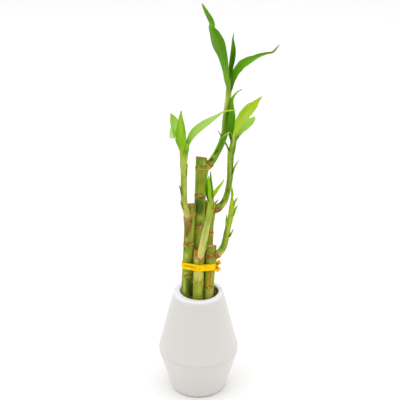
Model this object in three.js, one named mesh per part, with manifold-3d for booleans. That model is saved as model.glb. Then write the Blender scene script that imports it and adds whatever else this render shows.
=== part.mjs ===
// Lucky bamboo in a white ceramic pot: five cut canes stand in soil, a ribbon ties them,
// and each cane carries one leafy shoot. Millimetres, +Z up, -Y is the front.
// The origin is the middle of the pot's flat underside.

import * as THREE from "three";
import { mergeVertices } from "three/addons/utils/BufferGeometryUtils.js";
import Module from "manifold-3d";

const wasm = await Module();
wasm.setup();

// Driving dimensions

const touchGap = 0.3;

const pot = {
  baseRadius: 29.8,
  waistRadius: 43,
  waistHeight: 47,
  rimRadius: 26,
  height: 114,
  wall: 5.6,
  floor: 6,
  baseFillet: 6,
  waistFillet: 9,
  innerFillet: 6,
  lipFillet: 2.2,
  segments: 44,
};

// The soil's top is crumbly: `lumps` are waves of [height, turns in x, turns in y] in radians a
// millimetre, between rings at `rings` of its radius.
const soil = {
  top: 108.5,
  holeClearance: 0.4,
  rings: [0.75, 0.4, 0],
  lumps: [[0.7, 0.9, 0.8], [0.35, 1.7, -1.4]],
};

const cane = {
  foot: 20,
  sides: 14,
  ringRelief: 0.35,
  ringHeight: 1.6,
  neckRelief: 0.1,
  cutBevel: 0.4,
  collarSides: 12,
  collarFlare: 0.8,
};

// A cane is straight. Its axis passes through `at` at this height, and `lean` is its sideways
// travel for each millimetre of height. `rings` are the heights of its nodes.
const axisHeight = 142;
const canes = {
  tall: { radius: 5.65, at: [-0.4, 6.2], lean: [0.031, 0.03], top: 256.7, cutTilt: -6,
    rings: [80, 118, 155, 185.7, 218.7, 246.7] },
  left: { radius: 5.4, at: [-11.1, 0.6], lean: [0.05, 0.02], top: 208.5, cutTilt: 0,
    rings: [66, 100, 132.1, 167.5, 198.4] },
  front: { radius: 5.55, at: [0.4, -7.1], lean: [0.025, 0.08], top: 164, cutTilt: 3,
    rings: [70, 104, 129.9, 156.3] },
  right: { radius: 5.25, at: [12, -4.5], lean: [0.05, 0.03], top: 166.6, cutTilt: 0,
    rings: [62, 90, 122.1, 140.6, 158.2] },
  back_right: { radius: 4.9, at: [10, 10.3], lean: [0.02, 0.055], top: 209.2, cutTilt: 2,
    rings: [84, 122, 150, 174.5, 201.5] },
};

// A leaf sheath hugs its stem from height `from` to height `leave`, on the side that `out` names
// (degrees about Z, 0 along +X), and the blade follows `blade`, points of [x, y, z, half width].
// `faces` is where the upper face looks at the blade's middle and at its tip, as azimuth and
// elevation in degrees, and `fold` is how far each half rises from the midrib, in degrees.
// `sink` is the share of the stem's radius at which a sheath lies, so that it is well rooted,
// and `wrap` is how far it reaches round the stem at its foot and its mouth, in radians.
const leaf = {
  thickness: 0.7,
  sink: 0.97,
  wrap: [1.2, 1.1],
  large: { steps: 12, across: 4 },
  small: { steps: 6, across: 2 },
};

// A stem's points are [x, y, z, radius]. `collar` is how far the cane's branch stub reaches
// along the stem past the stem's first point.
const shoots = {
  tall: {
    collar: 4.5,
    stem: [[9, 9, 247, 4.1], [13.5, 9, 253, 3.8], [18.5, 8.5, 262, 3.3], [22.4, 8, 271, 3.3],
      [25.7, 7.5, 282, 3.4], [26.3, 6.5, 294, 3.2], [27.3, 5.5, 305.5, 2.9], [28.3, 4.5, 316, 2.6],
      [28.8, 3.5, 326, 2.4], [29.2, 3, 336.5, 1.4]],
    leaves: [
      { out: -110, from: 306, leave: 327, fold: 14, faces: [[75, 10], [62, 25]],
        blade: [[26.2, -0.5, 336.3, 2.9], [24.6, -3, 345, 3.7], [22, -7, 358, 5], [18.3, -12, 369.5, 6.5],
          [15.6, -17, 379.3, 5.8], [12.5, -21, 388.9, 2.6], [7.6, -26.5, 399.5, 2.1],
          [3.5, -30, 407.5, 0.35]] },
      { out: 100, from: 318, leave: 330, fold: 50, faces: [[-75, 5], [-60, 5]],
        blade: [[29.6, 5, 338, 2.8], [29.9, 5, 345.5, 3.4], [31, 4.5, 354, 4.1], [31.7, 4.5, 361.5, 4],
          [31.9, 4.5, 368, 2.8], [31.9, 5, 373, 1.5], [32.9, 5.5, 377.5, 0.35]] },
      { out: 30, from: 310, leave: 322, fold: 22, faces: [[-100, 45], [-100, 60]],
        blade: [[31.2, 5, 327, 3.2], [32.7, 5, 333.6, 3.5], [35.6, 5, 340.6, 4.1], [39.7, 5.5, 346.4, 4.7],
          [45.6, 6.5, 350.6, 4.7], [53.5, 8, 354.2, 3.5], [63, 9.5, 357.6, 2.2], [70, 10.5, 359.2, 1.3],
          [76, 11, 365.3, 0.35]] },
    ],
  },
  left: {
    collar: 1.5,
    stem: [[-10.5, -3, 197.5, 3.6], [-12.5, -4, 205, 3.2], [-13.5, -4.5, 212, 3.1], [-14.1, -4.5, 219, 3.15],
      [-14.3, -4, 231.5, 3.1], [-14.2, -4, 244, 3], [-14.4, -4, 256, 3.3], [-14.7, -4, 266.5, 3],
      [-15, -4, 273.5, 1.6]],
    leaves: [
      { out: -90, from: 252, leave: 266, fold: 16, faces: [[90, 10], [90, 20]],
        blade: [[-15.7, -8.5, 274.5, 4.2], [-16.3, -9.5, 282, 5.2], [-16.4, -11, 289, 4.6],
          [-16.3, -12.5, 296.5, 3.4], [-16.2, -14, 303.5, 1.8], [-15.6, -15, 310, 0.35]] },
      { out: 130, from: 254, leave: 267, fold: 14, faces: [[-60, 30], [-60, 40]],
        blade: [[-19, 0.5, 276, 3.4], [-21, 3, 282.5, 4.8], [-22.3, 6, 288.5, 5.4], [-23.9, 8.5, 294.6, 4.3],
          [-26.6, 11, 300.7, 0.35]] },
      { out: 165, from: 256, leave: 268, fold: 12, faces: [[-60, 55], [-60, 60]],
        blade: [[-20.5, 0, 278, 4.4], [-22.8, 4, 280.8, 5.2], [-25.4, 9, 282.8, 4.4],
          [-27.6, 14, 285, 0.4]] },
      { out: -10, from: 250, leave: 264, fold: 16, faces: [[-105, 45], [-105, 60]],
        blade: [[-9.6, -5, 271.6, 2.8], [-7.7, -5, 278.4, 3.7], [-4.6, -5, 284.7, 4.4],
          [-0.4, -5, 288.9, 4.7], [5, -4.5, 293, 4.3], [11.7, -4, 297.4, 3.2], [19, -4, 302.5, 1.7],
          [27.9, -5.5, 307.2, 1], [35.6, -5, 308, 0.35]] },
      { out: -50, from: 245, leave: 257, fold: 20, faces: [[130, 10], [130, 20]], small: true,
        blade: [[-11.4, -7.5, 265.5, 3], [-9.9, -8, 271, 2.9], [-8.3, -8.5, 277.4, 0.4]] },
      { out: -30, from: 230, leave: 238, fold: 15, faces: [[150, 0], [150, 10]], small: true,
        blade: [[-11.5, -5, 243.5, 1.3], [-11, -5.5, 249.5, 1], [-10.5, -5.5, 255, 0.35]] },
      { out: -140, from: 212, leave: 220, fold: 15, faces: [[40, 0], [40, 10]], small: true,
        blade: [[-17, -6.5, 226, 1.3], [-18, -6.5, 230.5, 0.9], [-18.5, -7, 233.5, 0.35]] },
      { out: -125, from: 200, leave: 205, fold: 15, faces: [[55, 0], [55, 10]], small: true,
        blade: [[-16, -7, 209.5, 1.2], [-17, -7, 213.5, 0.8], [-17.5, -7.5, 217, 0.35]] },
    ],
  },
  front: {
    collar: 1.2,
    stem: [[2.5, -10.5, 157, 3.1], [3.5, -13, 166, 3.6], [5, -14, 174.5, 3.6], [6.5, -14, 183, 3.3],
      [9, -13.5, 195.5, 2.9], [11, -13, 206.5, 2.9], [12.5, -12.5, 216, 2.5], [12.5, -12, 224, 1.5]],
    leaves: [
      { out: 170, from: 205, leave: 215, fold: 25, faces: [[-20, 0], [-20, 10]], small: true,
        blade: [[9, -11, 222.5, 2.2], [8, -10.5, 229.5, 2.2], [8, -10.5, 237.5, 1.5],
          [8, -11, 245.5, 0.35]] },
      { out: -110, from: 207, leave: 218, fold: 20, faces: [[70, 0], [70, 10]], small: true,
        blade: [[11, -14.5, 226, 2.2], [11, -15, 234.5, 1.7], [10, -15, 240.5, 1],
          [9.5, -14.5, 246, 0.35]] },
      { out: 60, from: 209, leave: 219, fold: 25, faces: [[-110, 0], [-110, 10]], small: true,
        blade: [[14, -12, 226, 2.5], [13.5, -12, 234.5, 2], [12.5, -12, 242.5, 1.2], [12, -12, 250, 0.35]] },
      { out: -15, from: 206, leave: 217, fold: 20, faces: [[-120, 30], [-110, 40]], small: true,
        blade: [[15.5, -13.5, 225, 2.3], [18, -14, 230.5, 2.4], [20.5, -14.5, 234.5, 1.6],
          [23, -15, 238.5, 0.9], [25, -15, 242, 0.35]] },
      { out: -35, from: 203, leave: 210, fold: 15, faces: [[150, 20], [150, 30]], small: true,
        blade: [[16.5, -14.5, 216.5, 1.2], [19.5, -15, 221.5, 0.35]] },
    ],
  },
  right: {
    collar: 4,
    stem: [[17.5, -5, 156.5, 3.5], [21.5, -6, 160.5, 3.7], [25.4, -7.5, 167.5, 3.4], [27.3, -8, 175, 3.2],
      [28.8, -8, 184, 3], [31, -8, 195, 2.8], [32.4, -8, 204, 2.7], [33.4, -8, 212, 2.3],
      [34, -8, 219.5, 1.3]],
    leaves: [
      { out: 180, from: 206, leave: 216, fold: 20, faces: [[0, 0], [0, 10]], small: true,
        blade: [[34, -8, 223.5, 1.4], [33.5, -8, 229, 1], [33, -8, 233.5, 0.35]] },
      { out: 0, from: 202, leave: 210, fold: 15, faces: [[180, 0], [180, 10]], small: true,
        blade: [[35.5, -8.5, 215, 1.3], [37, -9, 218, 1], [38.5, -9.5, 221.5, 0.35]] },
      { out: -20, from: 191, leave: 199, fold: 15, faces: [[160, 0], [160, 10]], small: true,
        blade: [[35.5, -8.5, 204.5, 1.5], [37, -9, 209, 1.2], [38.5, -10, 213.5, 0.35]] },
      { out: -150, from: 178, leave: 185, fold: 15, faces: [[30, 0], [30, 10]], small: true,
        blade: [[27.5, -10.5, 191.5, 1.6], [27.5, -10.5, 198, 1.2], [28, -11, 203.5, 0.35]] },
      { out: -10, from: 174, leave: 179, fold: 10, faces: [[170, 0], [170, 10]], small: true,
        blade: [[33.5, -9, 183.5, 1], [35, -9, 187, 0.4]] },
    ],
  },
  back_right: {
    collar: 4,
    stem: [[15.5, 12.5, 199.5, 3.7], [20.5, 11.5, 202.5, 3.8], [25.5, 10, 208.5, 3.3], [28.4, 8, 217, 3],
      [30.4, 6, 228, 2.9], [31.4, 4.5, 239, 3], [31.4, 3, 252, 3.1], [32, 1.5, 263.5, 3.1],
      [33.7, 0.5, 274, 2.8], [34.7, 0, 282, 1.6]],
    leaves: [
      { out: 125, from: 262, leave: 275, fold: 30, faces: [[-65, 5], [-80, 40]],
        blade: [[32, 1.5, 283.5, 3.2], [31.5, 1, 291, 4.4], [31.5, 0.5, 297, 5.4], [31.5, 0.5, 303.5, 4.4],
          [31.5, 0.5, 310.5, 3], [32, 0.5, 316, 1.9], [33.8, 1.1, 320, 1.4], [36.6, 1.5, 323.3, 0.95],
          [41.5, 1.5, 326.3, 0.35]] },
      { out: -50, from: 261, leave: 275, fold: 12, faces: [[105, 5], [105, 20]],
        blade: [[35.5, -2.5, 283.6, 2.8], [37.6, -3.5, 290, 3.4], [40.3, -5, 296.8, 4.7],
          [43.9, -6.5, 302.1, 5.7], [47.5, -8, 307.2, 6], [51.5, -9.5, 311.8, 5.2], [55.6, -11, 317, 2.5],
          [59.4, -12.5, 322.5, 0.35]] },
      { out: 35, from: 264, leave: 275, fold: 14, faces: [[-110, 40], [-120, 60]],
        blade: [[37.9, 2.5, 281, 3.3], [41.3, 4, 285.6, 4.1], [45.3, 6.5, 288.8, 4.8],
          [49.5, 9.5, 291.8, 4.6], [52.7, 12.5, 294.3, 3.3], [55, 16, 296.5, 0.4]] },
      { out: -170, from: 256, leave: 265, fold: 10, faces: [[10, 0], [10, 20]], small: true,
        blade: [[27.8, -1, 270.9, 1], [24.8, -1.5, 276.6, 0.8], [21.8, -2, 281.9, 0.65],
          [18.5, -2.5, 287.6, 0.35]] },
      { out: -130, from: 272, leave: 278, fold: 5, faces: [[-90, 60], [-90, 60]], small: true,
        blade: [[30.6, -3, 285.4, 0.9], [27, -3.5, 284, 0.8], [23.7, -4, 281.3, 0.75],
          [20.3, -4, 278.7, 0.35]] },
      { out: -20, from: 229, leave: 239, fold: 10, faces: [[160, 0], [160, 10]], small: true,
        blade: [[35, 1.5, 246.5, 1.2], [37, 1, 251.5, 0.9], [39.5, 1, 256.5, 0.35]] },
    ],
  },
};

// The ribbon lies in a plane that rises towards the front.
const tie = {
  height: 142.5,
  riseToFront: 0.3,
  width: 7.6,
  thickness: 0.7,
  clearance: 0.4,
  samples: 44,
  lean: [0.035, 0.04],
  knot: { centre: [19, -5, 145], size: [1.3, 1.7, 2.3] },
  tailCurl: 0.12,
  tailFace: [-70, 20],
  tailSteps: 5,
  // Points of [x, y, z, half width] along each free end.
  tails: [
    [[18.8, -5, 145.6, 1.1], [19.8, -5.4, 147.6, 1.8], [21.2, -5.8, 149, 2.2], [22.6, -6.2, 149.6, 2]],
    [[18.8, -5, 144.4, 1.2], [19.6, -5.6, 143, 1.9], [20.6, -6.2, 141.6, 2.3], [21.6, -6.8, 140.4, 2.5]],
  ],
};

// Solids

function signedVolume(positions, triangles) {
  let volume = 0;
  const [a, b, c] = [new THREE.Vector3(), new THREE.Vector3(), new THREE.Vector3()];
  for (let i = 0; i < triangles.length; i += 3) {
    a.fromArray(positions, triangles[i] * 3);
    b.fromArray(positions, triangles[i + 1] * 3);
    c.fromArray(positions, triangles[i + 2] * 3);
    volume += a.dot(b.cross(c)) / 6;
  }
  return volume;
}

// Joins shared vertices, leaves out triangles that have no area and turns the faces outward.
function toSolid(geometry) {
  const bare = geometry.clone();
  bare.deleteAttribute("normal");
  bare.deleteAttribute("uv");
  const merged = mergeVertices(bare, 1e-4);
  const positions = merged.attributes.position.array;
  let triangles = [];
  for (let i = 0; i < merged.index.count; i += 3) {
    const corners = [0, 1, 2].map((k) => merged.index.getX(i + k));
    if (new Set(corners).size === 3) {
      triangles.push(...corners);
    }
  }
  if (signedVolume(positions, triangles) < 0) {
    triangles = triangles.reverse();
  }
  const mesh = new wasm.Mesh({
    numProp: 3,
    vertProperties: Float32Array.from(positions),
    triVerts: Uint32Array.from(triangles),
  });
  return new wasm.Manifold(mesh);
}

function toGeometry(solid) {
  const mesh = solid.getMesh();
  const geometry = new THREE.BufferGeometry();
  geometry.setAttribute("position", new THREE.BufferAttribute(mesh.vertProperties, 3));
  geometry.setIndex(new THREE.BufferAttribute(mesh.triVerts, 1));
  geometry.computeVertexNormals();
  return geometry;
}

const joined = (solids) => solids.reduce((sum, solid) => sum.add(solid));

// The one body that a solid's largest skin encloses: sealed hollows are filled and scraps left out.
function oneBody(solid) {
  const bodies = solid.decompose();
  return bodies.reduce((best, body) => (body.volume() > best.volume() ? body : best));
}

// A closed skin over rings of equally many points. A loop's last ring meets its first one,
// and any other skin has a flat end on its first and last ring.
function skin(rings, isLoop = false) {
  const size = rings[0].length;
  const points = rings.flat();
  const triangles = [];
  const spans = isLoop ? rings.length : rings.length - 1;
  for (let i = 0; i < spans; i++) {
    const near = i * size;
    const far = ((i + 1) % rings.length) * size;
    for (let j = 0; j < size; j++) {
      const next = (j + 1) % size;
      // The second half of a flat ring is its back face, which is split like the front.
      const isBack = j >= size / 2;
      if (isBack) {
        triangles.push(near + j, near + next, far + j, near + next, far + next, far + j);
      } else {
        triangles.push(near + j, near + next, far + next, near + j, far + next, far + j);
      }
    }
  }
  if (!isLoop) {
    const last = (rings.length - 1) * size;
    for (let j = 1; j < size / 2; j++) {
      const [a, b] = [j - 1, j];
      const [c, d] = [size - 1 - j, size - j];
      for (const [p, q, r] of [[a, c, b], [a, d, c]]) {
        triangles.push(p, q, r, last + r, last + q, last + p);
      }
    }
  }
  const geometry = new THREE.BufferGeometry();
  geometry.setAttribute("position", new THREE.Float32BufferAttribute(points.flatMap((p) => p.toArray()), 3));
  geometry.setIndex(triangles);
  return geometry;
}

// Turns a profile of [radius, height] about the Z axis.
function turned(profile, segments) {
  const geometry = new THREE.LatheGeometry(profile.map(([r, z]) => new THREE.Vector2(r, z)), segments);
  return geometry.rotateX(Math.PI / 2);
}

// The points of an outline whose corners [x, y, fillet] are rounded by arcs.
function rounded(corners, steps = 3) {
  const outline = [];
  corners.forEach(([x, y, fillet], i) => {
    if (!fillet) {
      outline.push([x, y]);
      return;
    }
    const corner = new THREE.Vector2(x, y);
    const before = new THREE.Vector2(...corners[i - 1].slice(0, 2)).sub(corner).normalize();
    const after = new THREE.Vector2(...corners[i + 1].slice(0, 2)).sub(corner).normalize();
    const halfAngle = Math.acos(before.dot(after)) / 2;
    const middle = before.clone().add(after).normalize();
    const centre = corner.clone().addScaledVector(middle, fillet / Math.sin(halfAngle));
    const start = corner.clone().addScaledVector(before, fillet / Math.tan(halfAngle)).sub(centre);
    const end = corner.clone().addScaledVector(after, fillet / Math.tan(halfAngle)).sub(centre);
    let sweep = end.angle() - start.angle();
    sweep -= 2 * Math.PI * Math.round(sweep / (2 * Math.PI));
    for (let k = 0; k <= steps; k++) {
      const point = start.clone().rotateAround(new THREE.Vector2(), (sweep * k) / steps).add(centre);
      outline.push([point.x, point.y]);
    }
  });
  return outline;
}

const radians = THREE.MathUtils.degToRad;
const { lerp, smoothstep } = THREE.MathUtils;

function direction(azimuth, elevation) {
  const level = Math.cos(radians(elevation));
  return new THREE.Vector3(
    level * Math.cos(radians(azimuth)), level * Math.sin(radians(azimuth)), Math.sin(radians(elevation)));
}

// The value at a share of the way along a list, straight between its neighbours.
function along(values, share) {
  const place = Math.min(Math.max(share, 0), 1) * (values.length - 1);
  const i = Math.min(Math.floor(place), values.length - 2);
  return lerp(values[i], values[i + 1], place - i);
}

// Stands a geometry that rises along +Z on a point, along an axis.
function stoodAt(geometry, foot, axis) {
  const up = new THREE.Vector3(0, 0, 1);
  geometry.applyQuaternion(new THREE.Quaternion().setFromUnitVectors(up, axis.clone().normalize()));
  return geometry.translate(foot.x, foot.y, foot.z);
}

// Pot

const innerWaist = pot.waistRadius - pot.wall;
const innerRim = pot.rimRadius - pot.wall;
const innerBase = lerp(pot.baseRadius, pot.waistRadius, pot.floor / pot.waistHeight) - pot.wall;

function potSolid() {
  const profile = rounded([
    [0, 0, 0],
    [pot.baseRadius, 0, pot.baseFillet],
    [pot.waistRadius, pot.waistHeight, pot.waistFillet],
    [pot.rimRadius, pot.height, pot.lipFillet],
    [innerRim, pot.height, pot.lipFillet],
    [innerWaist, pot.waistHeight, pot.waistFillet],
    [innerBase, pot.floor, pot.innerFillet],
    [0, pot.floor, 0],
  ]);
  return toSolid(turned(profile, pot.segments));
}

// Canes

function caneAxisAt(spec, z) {
  const rise = z - axisHeight;
  return new THREE.Vector3(spec.at[0] + spec.lean[0] * rise, spec.at[1] + spec.lean[1] * rise, z);
}

function caneSolid(spec, grow = 0) {
  const foot = caneAxisAt(spec, cane.foot);
  const axis = caneAxisAt(spec, spec.top).sub(foot);
  const length = axis.length();
  const radius = spec.radius + grow;
  const profile = [[0, -grow], [radius, -grow]];
  for (const z of spec.rings) {
    const s = ((z - cane.foot) / (spec.top - cane.foot)) * length;
    const half = cane.ringHeight / 2;
    profile.push([radius, s - half], [radius + cane.ringRelief, s - half / 2]);
    profile.push([radius + cane.ringRelief, s + half / 4], [radius - cane.neckRelief, s + half]);
  }
  const end = length + grow;
  profile.push([radius, end - cane.cutBevel], [radius - cane.cutBevel, end], [0, end]);
  const geometry = turned(profile, cane.sides);
  // The cut at the top slopes a little from side to side.
  const positions = geometry.attributes.position;
  for (let i = 0; i < positions.count; i++) {
    if (positions.getZ(i) > length - cane.ringHeight / 2) {
      positions.setZ(i, positions.getZ(i) + positions.getX(i) * Math.tan(radians(spec.cutTilt)));
    }
  }
  return toSolid(stoodAt(geometry, foot, axis));
}

// Stems

function stemOf(points) {
  const centres = points.map(([x, y, z]) => new THREE.Vector3(x, y, z));
  const radii = points.map((point) => point[3]);
  const curve = new THREE.CatmullRomCurve3(centres);
  return {
    curve,
    pointAt: (share) => curve.getPoint(share),
    radiusAt: (share) => along(radii, share),
    // The share of the way along at which the stem reaches a height.
    shareAt(z) {
      const above = centres.findIndex((centre) => centre.z >= z);
      if (above < 0) {
        return 1;
      }
      const low = centres[Math.max(above - 1, 0)].z;
      const high = centres[Math.max(above, 1)].z;
      return (Math.max(above, 1) - 1 + (z - low) / (high - low)) / (centres.length - 1);
    },
  };
}

// A round tube whose rings are [centre, radius], square to the way it runs.
function tube(stations, sides) {
  const rings = stations.map(([centre, radius], i) => {
    const ahead = stations[Math.min(i + 1, stations.length - 1)][0];
    const behind = stations[Math.max(i - 1, 0)][0];
    const tangent = ahead.clone().sub(behind).normalize();
    const side = new THREE.Vector3(0, 1, 0).cross(tangent).normalize();
    const front = tangent.clone().cross(side);
    return Array.from({ length: sides }, (_, k) => {
      const turn = (2 * Math.PI * k) / sides;
      return centre.clone()
        .addScaledVector(side, radius * Math.cos(turn))
        .addScaledVector(front, radius * Math.sin(turn));
    });
  });
  return toSolid(skin(rings));
}

const stemSides = 10;
const stemSteps = 13;

function stemSolid(stem) {
  const stations = [];
  for (let i = 0; i <= stemSteps; i++) {
    stations.push([stem.pointAt(i / stemSteps), stem.radiusAt(i / stemSteps)]);
  }
  return tube(stations, stemSides);
}

// The stub of wood that a shoot grows out of. It runs along the shoot from inside the cane.
function collarSolid(spec, shoot, stem, grow = 0) {
  const start = stem.pointAt(0);
  const inside = caneAxisAt(spec, start.z - spec.radius / 3).lerp(start, 1 / 3);
  const length = stem.curve.getLength();
  const middle = stem.curve.getPointAt(shoot.collar / 2 / length);
  const end = stem.curve.getPointAt((shoot.collar + grow) / length);
  const radius = stem.radiusAt(0) + grow;
  const flare = cane.collarFlare;
  const stations = [[inside, radius - flare / 2], [start, radius + flare / 2], [middle, radius + flare],
    [end, radius + flare * 0.75]];
  return tube(stations, cane.collarSides);
}

// Leaves

// A thin strip with a front and a back face. Each station has its centre, the way it runs,
// the way its upper face looks, its half width, its curl (one over the radius that it is
// bent round to) and its fold angle.
function strip(stations, across, thickness) {
  const rings = stations.map(({ centre, tangent, facing, half, curl, fold }) => {
    const normal = facing.clone().addScaledVector(tangent, -facing.dot(tangent)).normalize();
    const side = tangent.clone().cross(normal);
    const front = [];
    const back = [];
    for (let k = 0; k <= across; k++) {
      const share = (2 * k) / across - 1;
      const arc = share * half;
      const bend = arc * curl;
      const sideways = curl > 1e-3 ? Math.sin(bend) / curl : arc;
      const inward = curl > 1e-3 ? (1 - Math.cos(bend)) / curl : 0;
      const tilt = bend + Math.sign(share) * fold;
      const point = centre.clone()
        .addScaledVector(side, sideways * Math.cos(fold))
        .addScaledVector(normal, inward + Math.abs(arc) * Math.sin(fold));
      const out = normal.clone().multiplyScalar(Math.cos(tilt)).addScaledVector(side, -Math.sin(tilt));
      front.push(point.clone().addScaledVector(out, thickness / 2));
      back.unshift(point.clone().addScaledVector(out, -thickness / 2));
    }
    return [...front, ...back];
  });
  return toSolid(skin(rings));
}

function leafSolid(stem, spec) {
  const outward = direction(spec.out, 0);
  const detail = spec.small ? leaf.small : leaf.large;
  const hug = leaf.sink * stem.radiusAt(stem.shareAt(spec.from));
  const sheath = [spec.from, spec.leave].map((z) => {
    const share = stem.shareAt(z);
    return stem.pointAt(share).addScaledVector(outward, leaf.sink * stem.radiusAt(share));
  });
  const blade = spec.blade.map(([x, y, z]) => new THREE.Vector3(x, y, z));
  const halves = [...leaf.wrap.map((angle) => angle * hug), ...spec.blade.map((point) => point[3])];
  const curve = new THREE.CatmullRomCurve3([...sheath, ...blade]);
  // The share of the way along at which the blade leaves the stem.
  const opens = 1 / (halves.length - 1);
  const [middleFace, tipFace] = spec.faces.map(([azimuth, elevation]) => direction(azimuth, elevation));
  const stations = [];
  for (let i = 0; i <= detail.steps; i++) {
    const share = i / detail.steps;
    const towardsMiddle = smoothstep(share, opens, 0.5);
    const towardsTip = smoothstep(share, 0.55, 1);
    const facing = outward.clone().negate().lerp(middleFace, towardsMiddle).lerp(tipFace, towardsTip);
    stations.push({
      centre: curve.getPoint(share),
      tangent: curve.getTangent(share),
      facing,
      half: along(halves, share),
      curl: (1 - smoothstep(share, opens * 0.9, opens * 2.2)) / hug,
      fold: radians(spec.fold) * smoothstep(share, opens, opens * 3),
    });
  }
  return strip(stations, detail.across, leaf.thickness);
}

function shootSolid(stem, shoot) {
  return joined([stemSolid(stem), ...shoot.leaves.map((spec) => leafSolid(stem, spec))]);
}

// Soil

function soilSolid() {
  const slope = (innerWaist - innerRim) / (pot.height - pot.waistHeight);
  const topRadius = innerWaist - slope * (soil.top - pot.waistHeight) - touchGap;
  const profile = rounded([
    [0, pot.floor + touchGap, 0],
    [innerBase - touchGap, pot.floor + touchGap, pot.innerFillet],
    [innerWaist - touchGap, pot.waistHeight, pot.waistFillet],
    [topRadius, soil.top, 0],
  ]);
  profile.push(...soil.rings.map((share) => [topRadius * share, soil.top]));
  const geometry = turned(profile, pot.segments);
  const positions = geometry.attributes.position;
  for (let i = 0; i < positions.count; i++) {
    const [x, y, z] = [positions.getX(i), positions.getY(i), positions.getZ(i)];
    if (z > soil.top - touchGap && Math.hypot(x, y) < topRadius - touchGap) {
      const waves = soil.lumps.map(([height, byX, byY]) => height * Math.sin(byX * x + byY * y));
      positions.setZ(i, z + waves.reduce((sum, wave) => sum + wave));
    }
  }
  let solid = toSolid(geometry);
  for (const spec of Object.values(canes)) {
    const bottom = caneAxisAt(spec, cane.foot - touchGap);
    const top = caneAxisAt(spec, pot.height);
    const axis = top.clone().sub(bottom);
    const hole = new THREE.CylinderGeometry(
      spec.radius + soil.holeClearance, spec.radius + soil.holeClearance, axis.length(), cane.sides);
    hole.rotateX(Math.PI / 2).translate(0, 0, axis.length() / 2);
    solid = solid.subtract(toSolid(stoodAt(hole, bottom, axis)));
  }
  return solid;
}

// Ribbon

// The point of the ribbon's loop that looks along an angle: the furthest cane that way
// holds the ribbon out, at the height where the ribbon passes it.
function ribbonPoint(angle, offset) {
  const normal = new THREE.Vector3(Math.cos(angle), Math.sin(angle), 0);
  let best = null;
  for (const spec of Object.values(canes)) {
    const z = tie.height - tie.riseToFront * spec.at[1];
    const point = caneAxisAt(spec, z).addScaledVector(normal, spec.radius + offset);
    if (!best || point.dot(normal) > best.dot(normal)) {
      best = point;
    }
  }
  best.z = tie.height - tie.riseToFront * best.y;
  return best;
}

function tieSolid() {
  const up = new THREE.Vector3(...tie.lean, 1).multiplyScalar(tie.width / 2);
  const rings = [];
  for (let i = 0; i < tie.samples; i++) {
    const angle = (2 * Math.PI * i) / tie.samples;
    const inner = ribbonPoint(angle, tie.clearance);
    const outer = ribbonPoint(angle, tie.clearance + tie.thickness);
    rings.push([inner.clone().sub(up), outer.clone().sub(up), outer.clone().add(up), inner.clone().add(up)]);
  }
  const knot = new THREE.SphereGeometry(1, 10, 6);
  knot.scale(...tie.knot.size).translate(...tie.knot.centre);
  const tails = tie.tails.map((points) => {
    const curve = new THREE.CatmullRomCurve3(points.map(([x, y, z]) => new THREE.Vector3(x, y, z)));
    const halves = points.map((point) => point[3]);
    const stations = Array.from({ length: tie.tailSteps + 1 }, (_, i) => ({
      centre: curve.getPoint(i / tie.tailSteps),
      tangent: curve.getTangent(i / tie.tailSteps),
      facing: direction(...tie.tailFace),
      half: along(halves, i / tie.tailSteps),
      curl: tie.tailCurl,
      fold: 0,
    }));
    return strip(stations, leaf.large.across, tie.thickness);
  });
  return joined([toSolid(skin(rings, true)), toSolid(knot), ...tails]);
}

// Assembly

const looks = {
  glaze: { color: "#e6e3de", roughness: 0.35 },
  earth: { color: "#2d2118", roughness: 0.95 },
  bark: { color: "#8f9d3c", roughness: 0.5 },
  shoot: { color: "#86b52a", roughness: 0.5 },
  ribbon: { color: "#ffc800", roughness: 0.45 },
};

function piece(name, solid, look) {
  const material = new THREE.MeshStandardMaterial({ ...look, metalness: 0 });
  const mesh = new THREE.Mesh(toGeometry(oneBody(solid)), material);
  mesh.name = name;
  return mesh;
}

const vessel = new THREE.Group();
vessel.add(piece("pot", potSolid(), looks.glaze));
vessel.add(piece("soil", soilSolid(), looks.earth));

const plant = new THREE.Group();
for (const [name, spec] of Object.entries(canes)) {
  const shoot = shoots[name];
  const stem = stemOf(shoot.stem);
  const wood = caneSolid(spec).add(collarSolid(spec, shoot, stem));
  const cleared = caneSolid(spec, touchGap).add(collarSolid(spec, shoot, stem, touchGap));
  plant.add(piece(`cane_${name}`, wood, looks.bark));
  plant.add(piece(`shoot_${name}`, shootSolid(stem, shoot).subtract(cleared), looks.shoot));
}
plant.add(piece("tie", tieSolid(), looks.ribbon));

const group = new THREE.Group();
group.add(vessel, plant);

export default group;
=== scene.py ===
import random
from math import acos, atan2, copysign, cos, degrees, exp, hypot, pi, radians, sin, sqrt, tan
from typing import NamedTuple

import bpy
import numpy as np
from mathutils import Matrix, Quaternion, Vector, noise


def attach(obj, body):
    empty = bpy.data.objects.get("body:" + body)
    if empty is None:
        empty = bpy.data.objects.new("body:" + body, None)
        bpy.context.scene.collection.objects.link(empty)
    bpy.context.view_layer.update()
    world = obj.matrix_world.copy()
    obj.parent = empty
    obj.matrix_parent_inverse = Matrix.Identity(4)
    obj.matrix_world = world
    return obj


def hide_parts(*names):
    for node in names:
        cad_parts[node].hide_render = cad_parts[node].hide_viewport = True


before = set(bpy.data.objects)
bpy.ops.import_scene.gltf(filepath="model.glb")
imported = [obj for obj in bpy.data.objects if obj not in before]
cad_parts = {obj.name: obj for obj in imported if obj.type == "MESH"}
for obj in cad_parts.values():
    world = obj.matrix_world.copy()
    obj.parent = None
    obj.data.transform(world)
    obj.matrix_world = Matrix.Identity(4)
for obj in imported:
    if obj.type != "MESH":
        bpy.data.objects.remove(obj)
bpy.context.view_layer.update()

# Lucky bamboo in a white ceramic pot. Lengths are in millimetres and become metres
# in build_mesh. +Z is up, -Y is the front, and the origin is the middle of the pot's foot.

MM = 0.001
UP = Vector((0, 0, 1))


# Numbers and colours

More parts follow.
